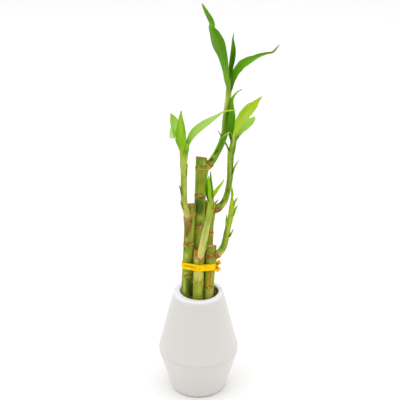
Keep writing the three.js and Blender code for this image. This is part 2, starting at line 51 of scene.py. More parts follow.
def clamp(x, low=0.0, high=1.0):
    return min(max(x, low), high)


def lerp(a, b, t):
    return a + (b - a) * t


def smoothstep(x, low, high):
    t = clamp((x - low) / (high - low))
    return t * t * (3 - 2 * t)


def bump_at(x, middle, width):
    return exp(-(((x - middle) / width) ** 2))


def hue(code):
    """A colour written as a hex code, as linear light."""
    values = [int(code[i:i + 2], 16) / 255 for i in (1, 3, 5)]
    return tuple(v / 12.92 if v <= 0.04045 else ((v + 0.055) / 1.055) ** 2.4 for v in values)


def mixed(a, b, t):
    return tuple(lerp(p, q, t) for p, q in zip(a, b))


def direction(azimuth, elevation=0):
    a, e = radians(azimuth), radians(elevation)
    return Vector((cos(e) * cos(a), cos(e) * sin(a), sin(e)))


def around(sides):
    """Unit vectors (x, y) evenly round a circle."""
    turns = [2 * pi * j / sides for j in range(sides)]
    return [(cos(turn), sin(turn)) for turn in turns]


def ripple(x, y, z, seed=0):
    """Smooth noise that goes up and down about every unit."""
    return noise.noise(Vector((x + seed * 7.3, y - seed * 3.1, z + seed * 1.7)))


def round_ripple(way, reach, z, seed=0):
    """A ripple round an axis, for a direction from it."""
    return ripple(way[0] * reach, way[1] * reach, z, seed)


def frame_about(tangent):
    """Two directions square to a tangent and to each other."""
    side = Vector((0, 1, 0)).cross(tangent).normalized()
    return side, tangent.cross(side)


class Smooth:
    """A curve through (place, value) knots that never overshoots them."""

    def __init__(self, knots):
        self.x, self.y = zip(*knots)
        step = [b - a for a, b in zip(self.x, self.x[1:])]
        slope = [(b - a) / h for a, b, h in zip(self.y, self.y[1:], step)]
        self.m = [slope[0]] + [0.0] * (len(knots) - 2) + [slope[-1]]
        for i in range(1, len(slope)):
            if slope[i - 1] * slope[i] > 0:
                w1, w2 = 2 * step[i] + step[i - 1], step[i] + 2 * step[i - 1]
                self.m[i] = (w1 + w2) / (w1 / slope[i - 1] + w2 / slope[i])

    def __call__(self, x):
        x = clamp(x, self.x[0], self.x[-1])
        i = 0
        while i < len(self.x) - 2 and x > self.x[i + 1]:
            i += 1
        h = self.x[i + 1] - self.x[i]
        t = (x - self.x[i]) / h
        a = (2 * t**3 - 3 * t**2 + 1) * self.y[i] + (t**3 - 2 * t**2 + t) * h * self.m[i]
        b = (3 * t**2 - 2 * t**3) * self.y[i + 1] + (t**3 - t**2) * h * self.m[i + 1]
        return a + b


class Path:
    """A centripetal Catmull-Rom curve through points, with its share running from 0 to 1."""

    def __init__(self, points):
        self.points = [Vector(p) for p in points]

    def span(self, share):
        p = self.points
        place = clamp(share) * (len(p) - 1)
        i = min(int(place), len(p) - 2)
        before = p[i - 1] if i > 0 else 2 * p[0] - p[1]
        after = p[i + 2] if i + 2 < len(p) else 2 * p[-1] - p[-2]
        four = (before, p[i], p[i + 1], after)
        steps = [max((four[k + 1] - four[k]).length, 1e-4) ** 0.5 for k in range(3)]
        return four, steps, place - i

    def at(self, share):
        (p0, p1, p2, p3), (d0, d1, d2), t = self.span(share)
        m1 = ((p1 - p0) / d0 - (p2 - p0) / (d0 + d1) + (p2 - p1) / d1) * d1
        m2 = ((p2 - p1) / d1 - (p3 - p1) / (d1 + d2) + (p3 - p2) / d2) * d1
        return (p1 + m1 * t + (-3 * p1 + 3 * p2 - 2 * m1 - m2) * t**2
                + (2 * p1 - 2 * p2 + m1 + m2) * t**3)

    def tangent(self, share):
        near = 1e-3
        return (self.at(min(share + near, 1)) - self.at(max(share - near, 0))).normalized()

    def length(self, share=1.0):
        spots = [self.at(share * i / 60) for i in range(61)]
        return sum((b - a).length for a, b in zip(spots, spots[1:]))

    def share_after(self, distance):
        """The share of the way along that lies a distance from the start."""
        low, high = 0.0, 1.0
        for _ in range(20):
            middle = (low + high) / 2
            if self.length(middle) < distance:
                low = middle
            else:
                high = middle
        return low


class Strand:
    """A path with a radius or half width at each of its (x, y, z, size) points."""

    def __init__(self, points):
        self.path = Path([p[:3] for p in points])
        self.heights = [p[2] for p in points]
        self.size = Smooth([(i / (len(points) - 1), p[3]) for i, p in enumerate(points)])

    def share_at(self, z):
        """The share of the way along at which it reaches a height."""
        above = next((i for i, height in enumerate(self.heights) if height >= z), None)
        if above is None:
            return 1.0
        above = max(above, 1)
        low, high = self.heights[above - 1:above + 1]
        return (above - 1 + (z - low) / (high - low)) / (len(self.heights) - 1)


# Meshes

class Skin:
    """Collects vertices in millimetres, faces and named values at the vertices."""

    def __init__(self):
        self.verts = []
        self.faces = []
        self.values = {}

    def add(self, point, **values):
        self.verts.append(point)
        for name, value in values.items():
            self.values.setdefault(name, {})[len(self.verts) - 1] = value
        return len(self.verts) - 1

    def rings(self, rings):
        """Joins closed rings of equally many vertices."""
        size = len(rings[0])
        for low, high in zip(rings, rings[1:]):
            for j in range(size):
                k = (j + 1) % size
                self.faces.append((low[j], low[k], high[k], high[j]))

    def tube(self, rings):
        """Joins rings and closes both ends."""
        self.rings(rings)
        self.faces += [rings[0][::-1], rings[-1]]

    def fan(self, point, ring):
        """Closes a ring round a point in its middle."""
        middle = self.add(point)
        self.faces += [(middle, a, b) for a, b in zip(ring, ring[1:] + ring[:1])]


def build_mesh(name, skin, material, node=None, slot=None):
    mesh = bpy.data.meshes.new(name)
    mesh.from_pydata([tuple(c * MM for c in v) for v in skin.verts], [], skin.faces)
    mesh.update()
    for key, values in skin.values.items():
        coloured = isinstance(next(iter(values.values())), tuple)
        layer = mesh.attributes.new(key, "FLOAT_COLOR" if coloured else "FLOAT", "POINT")
        flat = np.zeros((len(skin.verts), 4 if coloured else 1), dtype=np.float32)
        flat[:, 3:] = 1
        for i, value in values.items():
            flat[i, :3] = value
        layer.data.foreach_set("color" if coloured else "value", flat.ravel())
    mesh.polygons.foreach_set("use_smooth", [True] * len(mesh.polygons))
    mesh.materials.append(material)
    piece = bpy.data.objects.new(name, mesh)
    bpy.context.collection.objects.link(piece)
    if slot:
        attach(piece, "root")
    if node:
        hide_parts(node)
    return piece


# Materials

class Shader:
    """A material's nodes. An input is a number, a colour or another node's output."""

    # The sockets that a Mix node uses for colours.
    FACTOR, FIRST, SECOND, MIXED = 0, 6, 7, 2

    def __init__(self, name):
        self.material = bpy.data.materials.new(name)
        self.material.use_nodes = True
        self.tree = self.material.node_tree
        self.place = self.node("TexCoord", {})["Object"]

    def put(self, socket, value):
        if isinstance(value, str):
            value = hue(value)
        if isinstance(value, bpy.types.NodeSocket):
            self.tree.links.new(value, socket)
        elif socket.type == "RGBA":
            socket.default_value = (*value, 1)
        else:
            socket.default_value = value

    def node(self, kind, inputs, **settings):
        """Makes a node and gives its outputs."""
        made = self.tree.nodes.new("ShaderNode" + kind)
        for key, value in settings.items():
            setattr(made, key, value)
        for key, value in inputs.items():
            self.put(made.inputs[key], value)
        return made.outputs

    def surface(self, **inputs):
        for key, value in inputs.items():
            self.put(self.tree.nodes["Principled BSDF"].inputs[key.replace("_", " ")], value)
        return self.material

    def value(self, name, output="Fac"):
        return self.node("Attribute", {}, attribute_name=name)[output]

    def noise(self, scale, detail=3, roughness=0.55, distortion=0, along=1, vector=None):
        """Noise in the object's space. It is drawn out along Z where `along` is under 1."""
        if vector is None:
            vector = self.place
        if along != 1:
            vector = self.node("Mapping", {"Vector": vector, "Scale": (1, 1, along)})[0]
        return self.node("TexNoise", {"Vector": vector, "Scale": scale, "Detail": detail,
                                      "Roughness": roughness, "Distortion": distortion})["Fac"]

    def math(self, operation, a, b):
        return self.node("Math", {0: a, 1: b}, operation=operation)[0]

    def times(self, a, b):
        return self.math("MULTIPLY", a, b)

    def plus(self, a, b):
        return self.math("ADD", a, b)

    def levels(self, value, low, high, to_low=0, to_high=1):
        return self.node("MapRange", {
            "Value": value, "From Min": low, "From Max": high, "To Min": to_low, "To Max": to_high},
            interpolation_type="SMOOTHSTEP")[0]

    def mix(self, factor, a, b, blend="MIX"):
        inputs = {self.FACTOR: factor, self.FIRST: a, self.SECOND: b}
        return self.node("Mix", inputs, data_type="RGBA", blend_type=blend)[self.MIXED]

    def bump(self, height, distance):
        return self.node("Bump", {"Height": height, "Distance": distance * MM, "Strength": 1})[0]


def glaze_material():
    s = Shader("glaze")
    cloud = s.noise(22)
    coat = s.mix(cloud, "#dcd9d4", "#d8d5d0")
    # Painted highlight: the glaze turns whiter on the lip, where it faces the light from above.
    coat = s.mix(s.times(s.value("lip"), 0.8), coat, "#f2f1f5")
    # Painted shade: the glaze is darker in the crease at the waist.
    coat = s.mix(s.times(s.value("crease"), 0.5), coat, "#cfcbc4")
    return s.surface(
        Base_Color=coat,
        Roughness=s.levels(cloud, 0.3, 0.7, 0.3, 0.38),
        Normal=s.bump(s.plus(s.noise(60, 2), s.times(s.noise(420, 2), 0.12)), 0.09),
        Coat_Weight=0.25,
        Coat_Roughness=0.22)


def bisque_material():
    s = Shader("bisque")
    grit = s.noise(900, 4)
    return s.surface(
        Base_Color=s.mix(grit, "#d9d2c4", "#c2b9a8"),
        Roughness=0.85,
        Normal=s.bump(grit, 0.08))


def soil_material():
    s = Shader("soil")
    patch = s.noise(160, 4, 0.6)
    grain = s.noise(900, 5, 0.65)
    ground = s.mix(s.levels(patch, 0.3, 0.7), "#43382c", "#7c6a54")
    ground = s.mix(s.levels(s.noise(620, 1), 0.66, 0.74), ground, "#a5825a")
    return s.surface(
        Base_Color=s.mix(s.value("chip"), ground, "#b08c62"),
        Roughness=0.92,
        Normal=s.bump(s.plus(patch, grain), 0.5))


def cane_material():
    s = Shader("cane_skin")
    streaks = s.noise(620, 4, 0.6, along=0.12)
    fine = s.noise(1500, 2, 0.6, along=0.07)
    patches = s.noise(130, 4, 0.6, 0.6, along=0.45)
    grime = s.noise(520, 5, 0.7)
    blotch = s.noise(260, 4, 0.65, 0.4)

    skin = s.mix(s.levels(patches, 0.35, 0.68), "#a0af30", "#829f22")
    skin = s.mix(s.levels(streaks, 0.46, 0.72, 0, 0.45), skin, "#688512")
    skin = s.mix(s.levels(fine, 0.5, 0.72, 0, 0.4), skin, "#bdbf46")
    wood = s.mix(s.levels(grime, 0.3, 0.7), "#c78a50", "#a96a34")
    skin = s.mix(s.levels(s.value("cut"), 0.2, 0.8), skin, wood)
    skin = s.mix(s.value("pith"), skin, s.mix(s.levels(blotch, 0.3, 0.7), "#dcb68a", "#b8906a"))
    # The marks, each with the noise that frays its edge and how much of it shows at most.
    for mask, colour, ragged, low, high, most in (
            ("green", "#6c9c24", streaks, 0.25, 0.6, 0.9),
            ("yellow", "#cfc862", streaks, 0.25, 0.6, 0.9),
            # Dark marks are partly dark patches in the skin and partly painted shade between canes, under
            # rings and under the shoots' collars.
            ("dark", "#42641a", streaks, 0.25, 0.6, 0.9),
            ("brown", "#80542a", streaks, 0.25, 0.6, 0.85),
            ("orange", "#bd7622", blotch, 0.25, 0.6, 0.9),
            ("red", "#9a4e26", blotch, 0.35, 0.62, 0.88),
            ("scar", "#c99762", grime, 0.2, 0.5, 0.95)):
        spread = s.times(s.value(mask), s.levels(ragged, low, high, 0.45, 1.15))
        skin = s.mix(s.levels(spread, 0.06, 0.8, 0, most), skin, colour)
    rough = s.math("MAXIMUM", s.value("scar"), s.math("MAXIMUM", s.value("red"), s.value("cut")))
    return s.surface(
        Base_Color=s.mix(s.levels(grime, 0.62, 0.8, 0, 0.3), skin, "#5b4a22"),
        Roughness=s.levels(rough, 0, 1, 0.42, 0.72),
        Normal=s.bump(s.plus(s.times(streaks, 0.7), s.times(grime, 0.5)), 0.16),
        Specular_IOR_Level=0.12)


def shoot_material():
    s = Shader("shoot_skin")
    blade = s.value("blade")
    lines = s.node("CombineXYZ", {"X": s.value("across"), "Y": s.times(s.value("along"), 0.05)})[0]
    veins = s.noise(2.4, 2, 0.5, vector=lines)
    threads = s.noise(7.5, 1, 0.4, vector=lines)
    mottle = s.noise(260, 4, 0.6, along=0.3)
    fleck = s.noise(700, 3, 0.6, along=0.6)

    tint = s.value("tint", "Color")
    light = s.mix(1, tint, (1.22, 1.16, 1.3), "MULTIPLY")
    deep = s.mix(1, tint, (0.78, 0.85, 0.6), "MULTIPLY")
    lined = s.mix(s.levels(veins, 0.35, 0.65), s.mix(0.5, tint, deep), s.mix(0.5, tint, light))
    lined = s.mix(s.levels(threads, 0.45, 0.7, 0, 0.35), lined, light)
    skin = s.mix(s.levels(mottle, 0.3, 0.7), deep, tint)
    skin = s.mix(s.times(blade, 0.85), skin, lined)
    spots = s.times(s.levels(fleck, 0.66, 0.76), s.math("SUBTRACT", 1, blade))
    skin = s.mix(s.times(spots, 0.55), skin, "#c5cf86")
    skin = s.mix(s.value("deep"), skin, "#3f6b1a")
    skin = s.mix(s.value("pale"), skin, "#d9d68c")
    withered = s.mix(s.levels(fleck, 0.35, 0.65), "#8d8468", "#6f5c3e")
    height = s.times(s.plus(veins, s.times(threads, 0.4)), blade)
    return s.surface(
        Base_Color=s.mix(s.levels(s.value("dry"), 0.1, 0.9), skin, withered),
        Roughness=s.levels(mottle, 0.3, 0.7, 0.36, 0.46),
        Normal=s.bump(s.plus(height, s.times(mottle, 0.5)), 0.1),
        Specular_IOR_Level=0.1,
        Subsurface_Weight=0.1,
        Subsurface_Radius=(0.6, 1.0, 0.1),
        Subsurface_Scale=0.0012)


def ribbon_material():
    s = Shader("ribbon_film")
    fibre = s.noise(240, 3, 0.6, along=7)
    cloud = s.noise(190)
    film = s.mix(s.levels(cloud, 0.4, 0.65), "#ffd900", "#f6bc00")
    film = s.mix(s.levels(fibre, 0.5, 0.72, 0, 0.5), film, "#ffe900")
    # The film turns brown-orange in its folds, along its hems, where the tails leave the knot and in the
    # knot's hollows: painted shade.
    return s.surface(
        Base_Color=s.mix(s.levels(s.value("crease"), 0.2, 0.85, 0, 0.9), film, "#b05c08"),
        Roughness=s.levels(fibre, 0.3, 0.7, 0.34, 0.48),
        Normal=s.bump(s.plus(fibre, cloud), 0.12),
        Specular_IOR_Level=0.06)


# Pot

# Radii and heights of its corners, outside and inside.
FOOT, WAIST, RIM = 29.8, 43, 26
WAIST_HEIGHT, POT_HEIGHT = 47, 114
WALL, FLOOR = 5.6, 6
INNER_BASE = FOOT + (WAIST - FOOT) / WAIST_HEIGHT * FLOOR - WALL
INNER_WAIST, INNER_RIM = WAIST - WALL, RIM - WALL
WAIST_FILLET, INSIDE_FILLET = 9, 6
POT_CORNERS = [
    (0, 0, 0), (FOOT, 0, 6), (WAIST, WAIST_HEIGHT, WAIST_FILLET), (RIM, POT_HEIGHT, 2.2),
    (INNER_RIM, POT_HEIGHT, 1.3), (INNER_WAIST, WAIST_HEIGHT, WAIST_FILLET),
    (INNER_BASE, FLOOR, INSIDE_FILLET), (0, FLOOR, 0)]

POT_SIDES, POT_ARC_STEPS = 160, 9
LONGEST_STEP = 2.5

# The neck's wall reaches further in at its left.
THICK_SIDE = direction(-152).xy
THICKER = 2.2


def rounded(corners, steps):
    """The outline whose corners (x, y, fillet) are rounded by arcs, and straights cut in parts."""
    outline = []
    for i, (x, y, fillet) in enumerate(corners):
        corner = Vector((x, y))
        if not fillet:
            outline.append(corner)
            continue
        before = (Vector(corners[i - 1][:2]) - corner).normalized()
        after = (Vector(corners[i + 1][:2]) - corner).normalized()
        half = acos(before.dot(after)) / 2
        centre = corner + (before + after).normalized() * (fillet / sin(half))
        start = corner + before * (fillet / tan(half)) - centre
        end = corner + after * (fillet / tan(half)) - centre
        sweep = atan2(end.y, end.x) - atan2(start.y, start.x)
        sweep -= 2 * pi * round(sweep / (2 * pi))
        for k in range(steps + 1):
            c, s = cos(sweep * k / steps), sin(sweep * k / steps)
            outline.append(centre + Vector((start.x * c - start.y * s, start.x * s + start.y * c)))
    divided = []
    for a, b in zip(outline, outline[1:]):
        parts = max(1, round((b - a).length / LONGEST_STEP))
        divided.extend(a.lerp(b, k / parts) for k in range(parts))
    return divided + [outline[-1]]


def thicker(z, way):
    """How much further in the wall reaches at a height, for a unit vector from the axis."""
    return THICKER * max(Vector(way).dot(THICK_SIDE), 0) ** 2 * smoothstep(z, 70, 106)


def make_pot():
    outline = rounded(POT_CORNERS, POT_ARC_STEPS)
    rim = max(range(len(outline)), key=lambda i: outline[i].y)
    skin = Skin()
    rings = []
    for i, (from_axis, z) in list(enumerate(outline))[1:-1]:
        # A shallow groove round the waist, where the glaze is also darkened as painted shade.
        crease = bump_at(z, WAIST_HEIGHT - 0.3, 1.3)
        # The glaze turns whiter towards the rim: a painted highlight on the lip.
        lip = smoothstep(z, POT_HEIGHT - 2.6, POT_HEIGHT - 0.8)
        ring = []
        for way in around(POT_SIDES):
            # Slip-cast walls are never quite round.
            waver = 0.12 * round_ripple(way, 0.9, z * 0.02, 3) * smoothstep(z, 2, 12)
            radius = from_axis + waver - 0.06 - 0.36 * crease
            if i > rim:
                radius -= thicker(z, way)
            ring.append(skin.add((radius * way[0], radius * way[1], z), crease=crease, lip=lip))
        rings.append(ring)
    skin.rings(rings)
    skin.fan((0, 0, 0), rings[0][::-1])
    skin.fan((0, 0, FLOOR), rings[-1])
    piece = build_mesh("ceramic_pot", skin, glaze_material(), "pot", "glaze")
    piece.data.materials.append(bisque_material())
    for face in piece.data.polygons:
        if face.center.z < 0.2 * MM:
            face.material_index = 1


# Soil

SOIL_TOP = 108.5
SOIL_GAP = 0.3
SOIL_BASE = FLOOR + SOIL_GAP
SOIL_SIDES, SOIL_STEPS, SOIL_ARC_STEPS = 96, 34, 5
CRUMBS = 620


def wall_radius(z, way=(1, 0)):
    """The inner radius of the pot's neck at a height, for a unit vector from the axis."""
    slope = (INNER_WAIST - INNER_RIM) / (POT_HEIGHT - WAIST_HEIGHT)
    return INNER_WAIST - slope * (z - WAIST_HEIGHT) - thicker(z, way)


def soil_height(x, y):
    swell = 0.8 * ripple(x * 0.09, y * 0.09, 0, 5) + 0.5 * ripple(x * 0.25, y * 0.25, 0, 6)
    # It is banked up at the left, and a little at the right.
    swell += 4.2 * smoothstep(-x, 10, 17) + 1.8 * smoothstep(x, 12, 18)
    return SOIL_TOP + swell + 0.35 * ripple(x * 0.8, y * 0.8, 0, 7)


def make_soil():
    edge = wall_radius(SOIL_TOP) - SOIL_GAP
    outline = rounded([
        (0, SOIL_BASE, 0), (INNER_BASE - SOIL_GAP, SOIL_BASE, INSIDE_FILLET),
        (INNER_WAIST - SOIL_GAP, WAIST_HEIGHT, WAIST_FILLET), (edge, SOIL_TOP - 0.6, 0)], SOIL_ARC_STEPS)
    ways = around(SOIL_SIDES)
    skin = Skin()
    rings = [[skin.add((p.x * x, p.x * y, p.y)) for x, y in ways] for p in outline[1:]]
    for i in range(SOIL_STEPS):
        radius = edge * (1 - i / SOIL_STEPS) * 0.995
        ring = []
        for x, y in ways:
            z = soil_height(x * radius, y * radius) - (0.5 if i == 0 else 0)
            held = min(radius, wall_radius(z, (x, y)) - SOIL_GAP)
            ring.append(skin.add((x * held, y * held, z)))
        rings.append(ring)
    skin.rings(rings)
    skin.fan((0, 0, SOIL_BASE), rings[0][::-1])
    skin.fan((0, 0, soil_height(0, 0)), rings[-1])
    add_crumbs(skin, edge)
    build_mesh("potting_soil", skin, soil_material(), "soil", "soil")


CRUMB_CORNERS = [(x, y, z) for x in (-1, 0, 1) for y in (-1, 0, 1) for z in (-1, 0, 1)
                 if (x, y, z) != (0, 0, 0)]


def crumb_faces():
    """The faces of a 3 x 3 x 3 lattice's shell, as places in CRUMB_CORNERS."""
    faces = []
    for axis in range(3):
        for side, a, b in ((side, a, b) for side in (-1, 1) for a in (-1, 0) for b in (-1, 0)):
            quad = []
            for da, db in ((0, 0), (1, 0), (1, 1), (0, 1)):
                spot = [0, 0, 0]
                spot[axis], spot[(axis + 1) % 3], spot[(axis + 2) % 3] = side, a + da, b + db
                quad.append(CRUMB_CORNERS.index(tuple(spot)))
            faces.append(quad if side > 0 else quad[::-1])
    return faces


def add_crumbs(skin, edge):
    """Crumbs of soil, half sunk in its top and clear of the canes."""
    draw = random.Random(4)
    faces = crumb_faces()
    placed = 0
    while placed < CRUMBS:
        x, y = draw.uniform(-edge, edge), draw.uniform(-edge, edge)
        size = 0.35 + 1.15 * draw.random() ** 2.2
        away = hypot(x, y)
        if away > wall_radius(soil_height(x, y) + size, (x / away, y / away)) - size * 1.25:
            continue
        if any((Vector((x, y)) - cane_axis(c, SOIL_TOP).xy).length < c["radius"] + size * 0.7
               for c in CANES.values()):
            continue
        placed += 1
        turn = Quaternion(direction(draw.uniform(0, 360), draw.uniform(-90, 90)), draw.uniform(0, 3))
        flat = Vector((draw.uniform(0.7, 1.2), draw.uniform(0.7, 1.2), draw.uniform(0.5, 0.9)))
        seat = Vector((x, y, soil_height(x, y) + size * 0.15))
        # Some are chips of bark, most of them at the left.
        chip = 0.85 if draw.random() < (0.4 if x < -12 else 0.1) else 0.0
        start = len(skin.verts)
        for corner in CRUMB_CORNERS:
            way = Vector(corner).normalized() * flat * (size * draw.uniform(0.78, 1.15))
            skin.add(seat + turn @ way, chip=chip)
        skin.faces.extend([start + i for i in face] for face in faces)


# Canes

CANE_FOOT = 20
AXIS_HEIGHT = 142
CANE_SIDES = 60
# Steps between its rows of vertices: in the pot, along the skin, and near a ring.
BURIED_STEP, SKIN_STEP, RING_STEP = 6, 1.1, 0.3
BURIED_TOP, RING_REACH = 100, 2.8
# How far round from its middle a scar under a shoot reaches, in degrees.
V_REACH = 80
COLLAR_SIDES, COLLAR_STEPS = 40, 12

# A cane's axis is at (x, y) where it passes AXIS_HEIGHT, and leans (x, y) for each millimetre up.
# Its cut top tilts up to the right by `tilt` and down to the back by `cut_back` degrees, and
# `cut` is how brown, pithy and aged that is. A `burl` under the shoot has a size, height and
# azimuth, and each of the `rings` a height, the azimuth of its low side and how far it dips there.
CANES = {
    "tall": {
        "radius": 5.65, "at": (-0.4, 6.2), "lean": (0.031, 0.03), "top": 256.9, "tilt": -6,
        "cut_back": 13, "cut": (0.9, 0.3, 0.5), "burl": (1.7, 243.5, -5),
        "rings": [(80, 0, 0), (118, 0, 0), (155, 20, 0.5), (184.9, -60, 0.5), (218.2, 200, 0.5),
            (246.1, 0, 0.3)]},
    "left": {
        "radius": 5.4, "at": (-11.1, 0.6), "lean": (0.05, 0.02), "top": 210.4, "tilt": 8,
        "cut_back": 13, "cut": (1.0, 0.2, 0.2), "burl": (1.3, 196.5, -170),
        "rings": [(66, 0, 0), (100, 0, 0), (131.4, 160, 0.8), (167.5, 180, 1.0), (201, -114, 0.8)]},
    "front": {
        "radius": 5.55, "at": (0.4, -7.1), "lean": (0.025, 0.08), "top": 164, "tilt": 3,
        "cut_back": 8, "cut": (0.7, 0.3, 1.0), "burl": (0.3, 153, -90),
        "rings": [(70, 0, 0), (104, 0, 0), (128.6, 20, 0.4), (156.3, 180, 0.6)]},
    "right": {
        "radius": 5.25, "at": (12, -4.5), "lean": (0.05, 0.03), "top": 167, "tilt": 4,
        "cut_back": 10, "cut": (1.0, 1.0, 0.0), "burl": (0.9, 152.5, -15),
        "rings": [(62, 0, 0), (90, 0, 0), (122.1, 180, 0.8), (140.6, 0, 0.4), (156.3, 40, 3.7)]},
    "back_right": {
        "radius": 4.9, "at": (10, 10.3), "lean": (0.02, 0.055), "top": 209.2, "tilt": 2,
        "cut_back": 9, "cut": (1.0, 0.4, 0.4), "burl": (1.5, 194.5, -15),
        "rings": [(84, 0, 0), (122, 0, 0), (150, 40, 0.5), (174.5, 200, 0.5), (201.5, 180, 0.6)]},
}

# Marks on the canes by their kind: height, azimuth, half height, half width in degrees, strength,
# and the slant of those that slant, in millimetres of height for a half width.
# The dark marks are partly the canes' own dark patches and partly painted shade: between neighbouring
# canes, under rings and under the shoots' collars.
MARKS = {
    "tall": {
        "green": [(253, -135, 5, 32, 0.9)],
        "yellow": [(252, -60, 3.6, 28, 0.5), (239, -104, 6, 15, 0.35), (194.5, -78, 3, 60, 0.35),
            (171, -74, 9, 26, 0.4)],
        "brown": [(249, -82, 1.3, 18, 0.6), (255.5, -95, 0.8, 80, 0.5), (251, -110, 4, 60, 0.3),
            (233, -70, 12, 24, 0.35), (236, -90, 16, 90, 0.24), (218.6, -128, 2.3, 16, 1),
            (217.4, -92, 2.1, 14, 1), (217.8, -56, 2.3, 16, 1), (220.6, -78, 1, 30, 0.6),
            (218.4, -90, 1.3, 70, 0.6), (189.6, -112, 1.1, 12, 1), (188.6, -78, 1.1, 24, 1),
            (185.6, -114, 3, 22, 1), (187, -90, 3, 50, 0.5), (175, -115, 8.5, 20, 0.3)],
        "dark": [(229, -129, 10, 20, 0.35), (216, -70, 2, 46, 0.6), (206.5, -112, 9, 84, 1),
            (178, -165, 12, 22, 0.7), (150, 60, 20, 40, 0.6), (200, 100, 14, 40, 0.6)],
        "scar": [(184.6, -76, 2, 15, 0.9), (184.6, -110, 1.2, 16, 0.7)],
        "orange": [(182, -92, 2.4, 16, 0.3)],
    },
    "left": {
        "brown": [(208.3, -85, 1.3, 30, 0.6), (207, -38, 5, 30, 0.6), (206.4, -89, 2, 11, 0.5),
            (186.5, -98, 7, 40, 0.85, 8), (184, -125, 15, 60, 0.55), (188, -155, 10, 24, 0.8),
            (172, -154, 6, 24, 0.7), (170, -98, 1.3, 60, 0.7), (154.6, -91, 0.6, 60, 0.35),
            (151.8, -89, 0.6, 60, 0.35), (134.2, -86, 1.8, 66, 0.35), (138.2, -110, 0.8, 40, 0.6),
            (140.4, -80, 0.7, 44, 0.5)],
        "yellow": [(205.7, -67, 3.2, 15, 0.25), (182, -56, 9, 14, 0.6), (174, -123, 3.2, 28, 0.6),
            (157.4, -52, 7, 18, 0.5), (155.6, -108, 3.3, 24, 0.6), (136.5, -104, 2.3, 17, 0.5),
            (117, -117, 12, 20, 0.6, -7)],
        "orange": [(190, -84, 2.4, 16, 0.6, 3), (196, -160, 3, 16, 0.7)],
        "dark": [(193.5, -76, 3, 14, 1), (179.5, -119, 3.8, 14, 1), (162.7, -138, 2.7, 22, 0.6),
            (123, -66, 11, 40, 0.9, -7), (122, -150, 9, 18, 0.6), (120, 100, 20, 40, 0.6)],
        "green": [(163.5, -95, 3.3, 20, 0.9, 3)],
    },
    "front": {
        "orange": [(160.4, -128, 3.2, 34, 0.9)],
        "red": [(159, -132, 2, 22, 0.9), (152.6, -78, 2, 34, 0.8), (156.2, -147, 1.3, 24, 0.7),
            (129, -84, 1.3, 58, 0.7)],
        "brown": [(164, -128, 1.8, 34, 1), (133.5, -100, 3.4, 5, 0.9, 2)],
        "yellow": [(153.2, -108, 1.8, 36, 0.6), (137, -91, 6.5, 64, 0.95), (120.7, -78, 9, 30, 0.45)],
        "dark": [(118, -30, 9, 20, 0.4), (119, -128, 7.7, 12, 0.35), (120, 90, 16, 50, 0.6)],
    },
    "right": {
        "dark": [(163.6, -145, 2.7, 16, 0.5)],
        "green": [(163.6, -94, 2.4, 28, 0.35)],
        "brown": [(160, -91, 0.8, 34, 0.6), (157, -108, 6, 56, 0.6), (121, -124, 0.9, 16, 0.8),
            (111, -60, 1.2, 44, 0.4)],
        "red": [(158.5, -36, 3.6, 32, 0.9), (158.2, -92, 1.2, 34, 0.8, -1.6),
            (155.2, -30, 2.2, 28, 0.9, -1.6), (124.2, -80, 1.8, 18, 0.95)],
        "yellow": [(154.6, -104, 2.6, 22, 0.5), (119.3, -120, 0.8, 28, 1, -1), (114.5, -80, 6, 52, 0.75)],
        "orange": [(136.6, -82, 3.6, 15, 1), (132, -90, 4, 14, 1, 1), (127, -84, 4, 18, 1),
            (139, -101, 1.7, 22, 0.7), (127.5, -117, 3.4, 12, 0.5)],
    },
    "back_right": {
        "brown": [(207, -51, 3.2, 27, 0.6), (196.4, -20, 2.2, 18, 0.6), (167, -50, 7, 60, 0.35)],
        "dark": [(184, -40, 12, 50, 0.3), (200, -45, 3, 30, 0.8), (167, -36, 6, 40, 0.4)],
        "red": [(175.2, -55, 1.8, 40, 1)],
        "orange": [(177.2, -47, 1.2, 34, 0.7)],
        "yellow": [(168, -62, 3.3, 12, 0.4)],
    },
}
MASKS = ("green", "yellow", "dark", "brown", "orange", "red", "scar", "cut", "pith")


def cane_axis(cane, z):
    rise = z - AXIS_HEIGHT
    return Vector((cane["at"][0] + cane["lean"][0] * rise, cane["at"][1] + cane["lean"][1] * rise, z))


def turned(azimuth, start):
    """How far an azimuth lies past another, from -180 to 180 degrees."""
    return (azimuth - start + 180) % 360 - 180


def cane_rows(cane):
    """Heights of the rows of vertices, close together near each node ring."""
    rows = []
    z = CANE_FOOT
    while z < cane["top"] - 1:
        rows.append(z)
        near = min(abs(z - height) - dip for height, _, dip in cane["rings"])
        z += BURIED_STEP if z < BURIED_TOP else RING_STEP if near < RING_REACH else SKIN_STEP
    return rows


def ring_relief(cane, z, azimuth):
    """How far the rings make the skin stand out, and how much scar and red they give it."""
    relief, scar, red = 0.0, 0.0, 0.0
    way = direction(azimuth)
    worn = round_ripple(way, 1.7, z * 0.1, 31)
    for height, low_side, dip in cane["rings"]:
        height += 0.18 * round_ripple(way, 1.4, height) - dip * cos(radians(azimuth - low_side))
        d = z - height
        if abs(d) > 7:
            continue
        relief += 0.3 * bump_at(d, 0, 2.6 if d < 0 else 0.7) + 0.2 * bump_at(d, -0.1, 0.35)
        relief -= 0.18 * bump_at(d, 0.75, 0.35) + 0.08 * bump_at(d, -0.8, 0.3)
        scar = max(scar, bump_at(d, 0.0, 0.6) * clamp(0.75 + 1.1 * worn))
        red = max(red, bump_at(d, 0.35, 1.5) * clamp(0.45 - 1.5 * worn))
    return relief, scar, red


def burl_relief(cane, z, azimuth):
    """How far a cane swells out under its shoot."""
    size, height, bearing = cane["burl"]
    facing = max(cos(radians(azimuth - bearing)), 0)
    return size * facing * bump_at(z, height, 7 if z < height else 3)


def mark_share(z, azimuth, at, bearing, tall, wide, strength, slant=0):
    """How strongly a mark shows at a place on a cane or stem."""
    off = turned(azimuth, bearing)
    reach = ((z - at - slant * off / wide) / tall) ** 2 + (off / wide) ** 2
    return strength * exp(-(reach ** 1.4)) if reach < 5 else 0.0


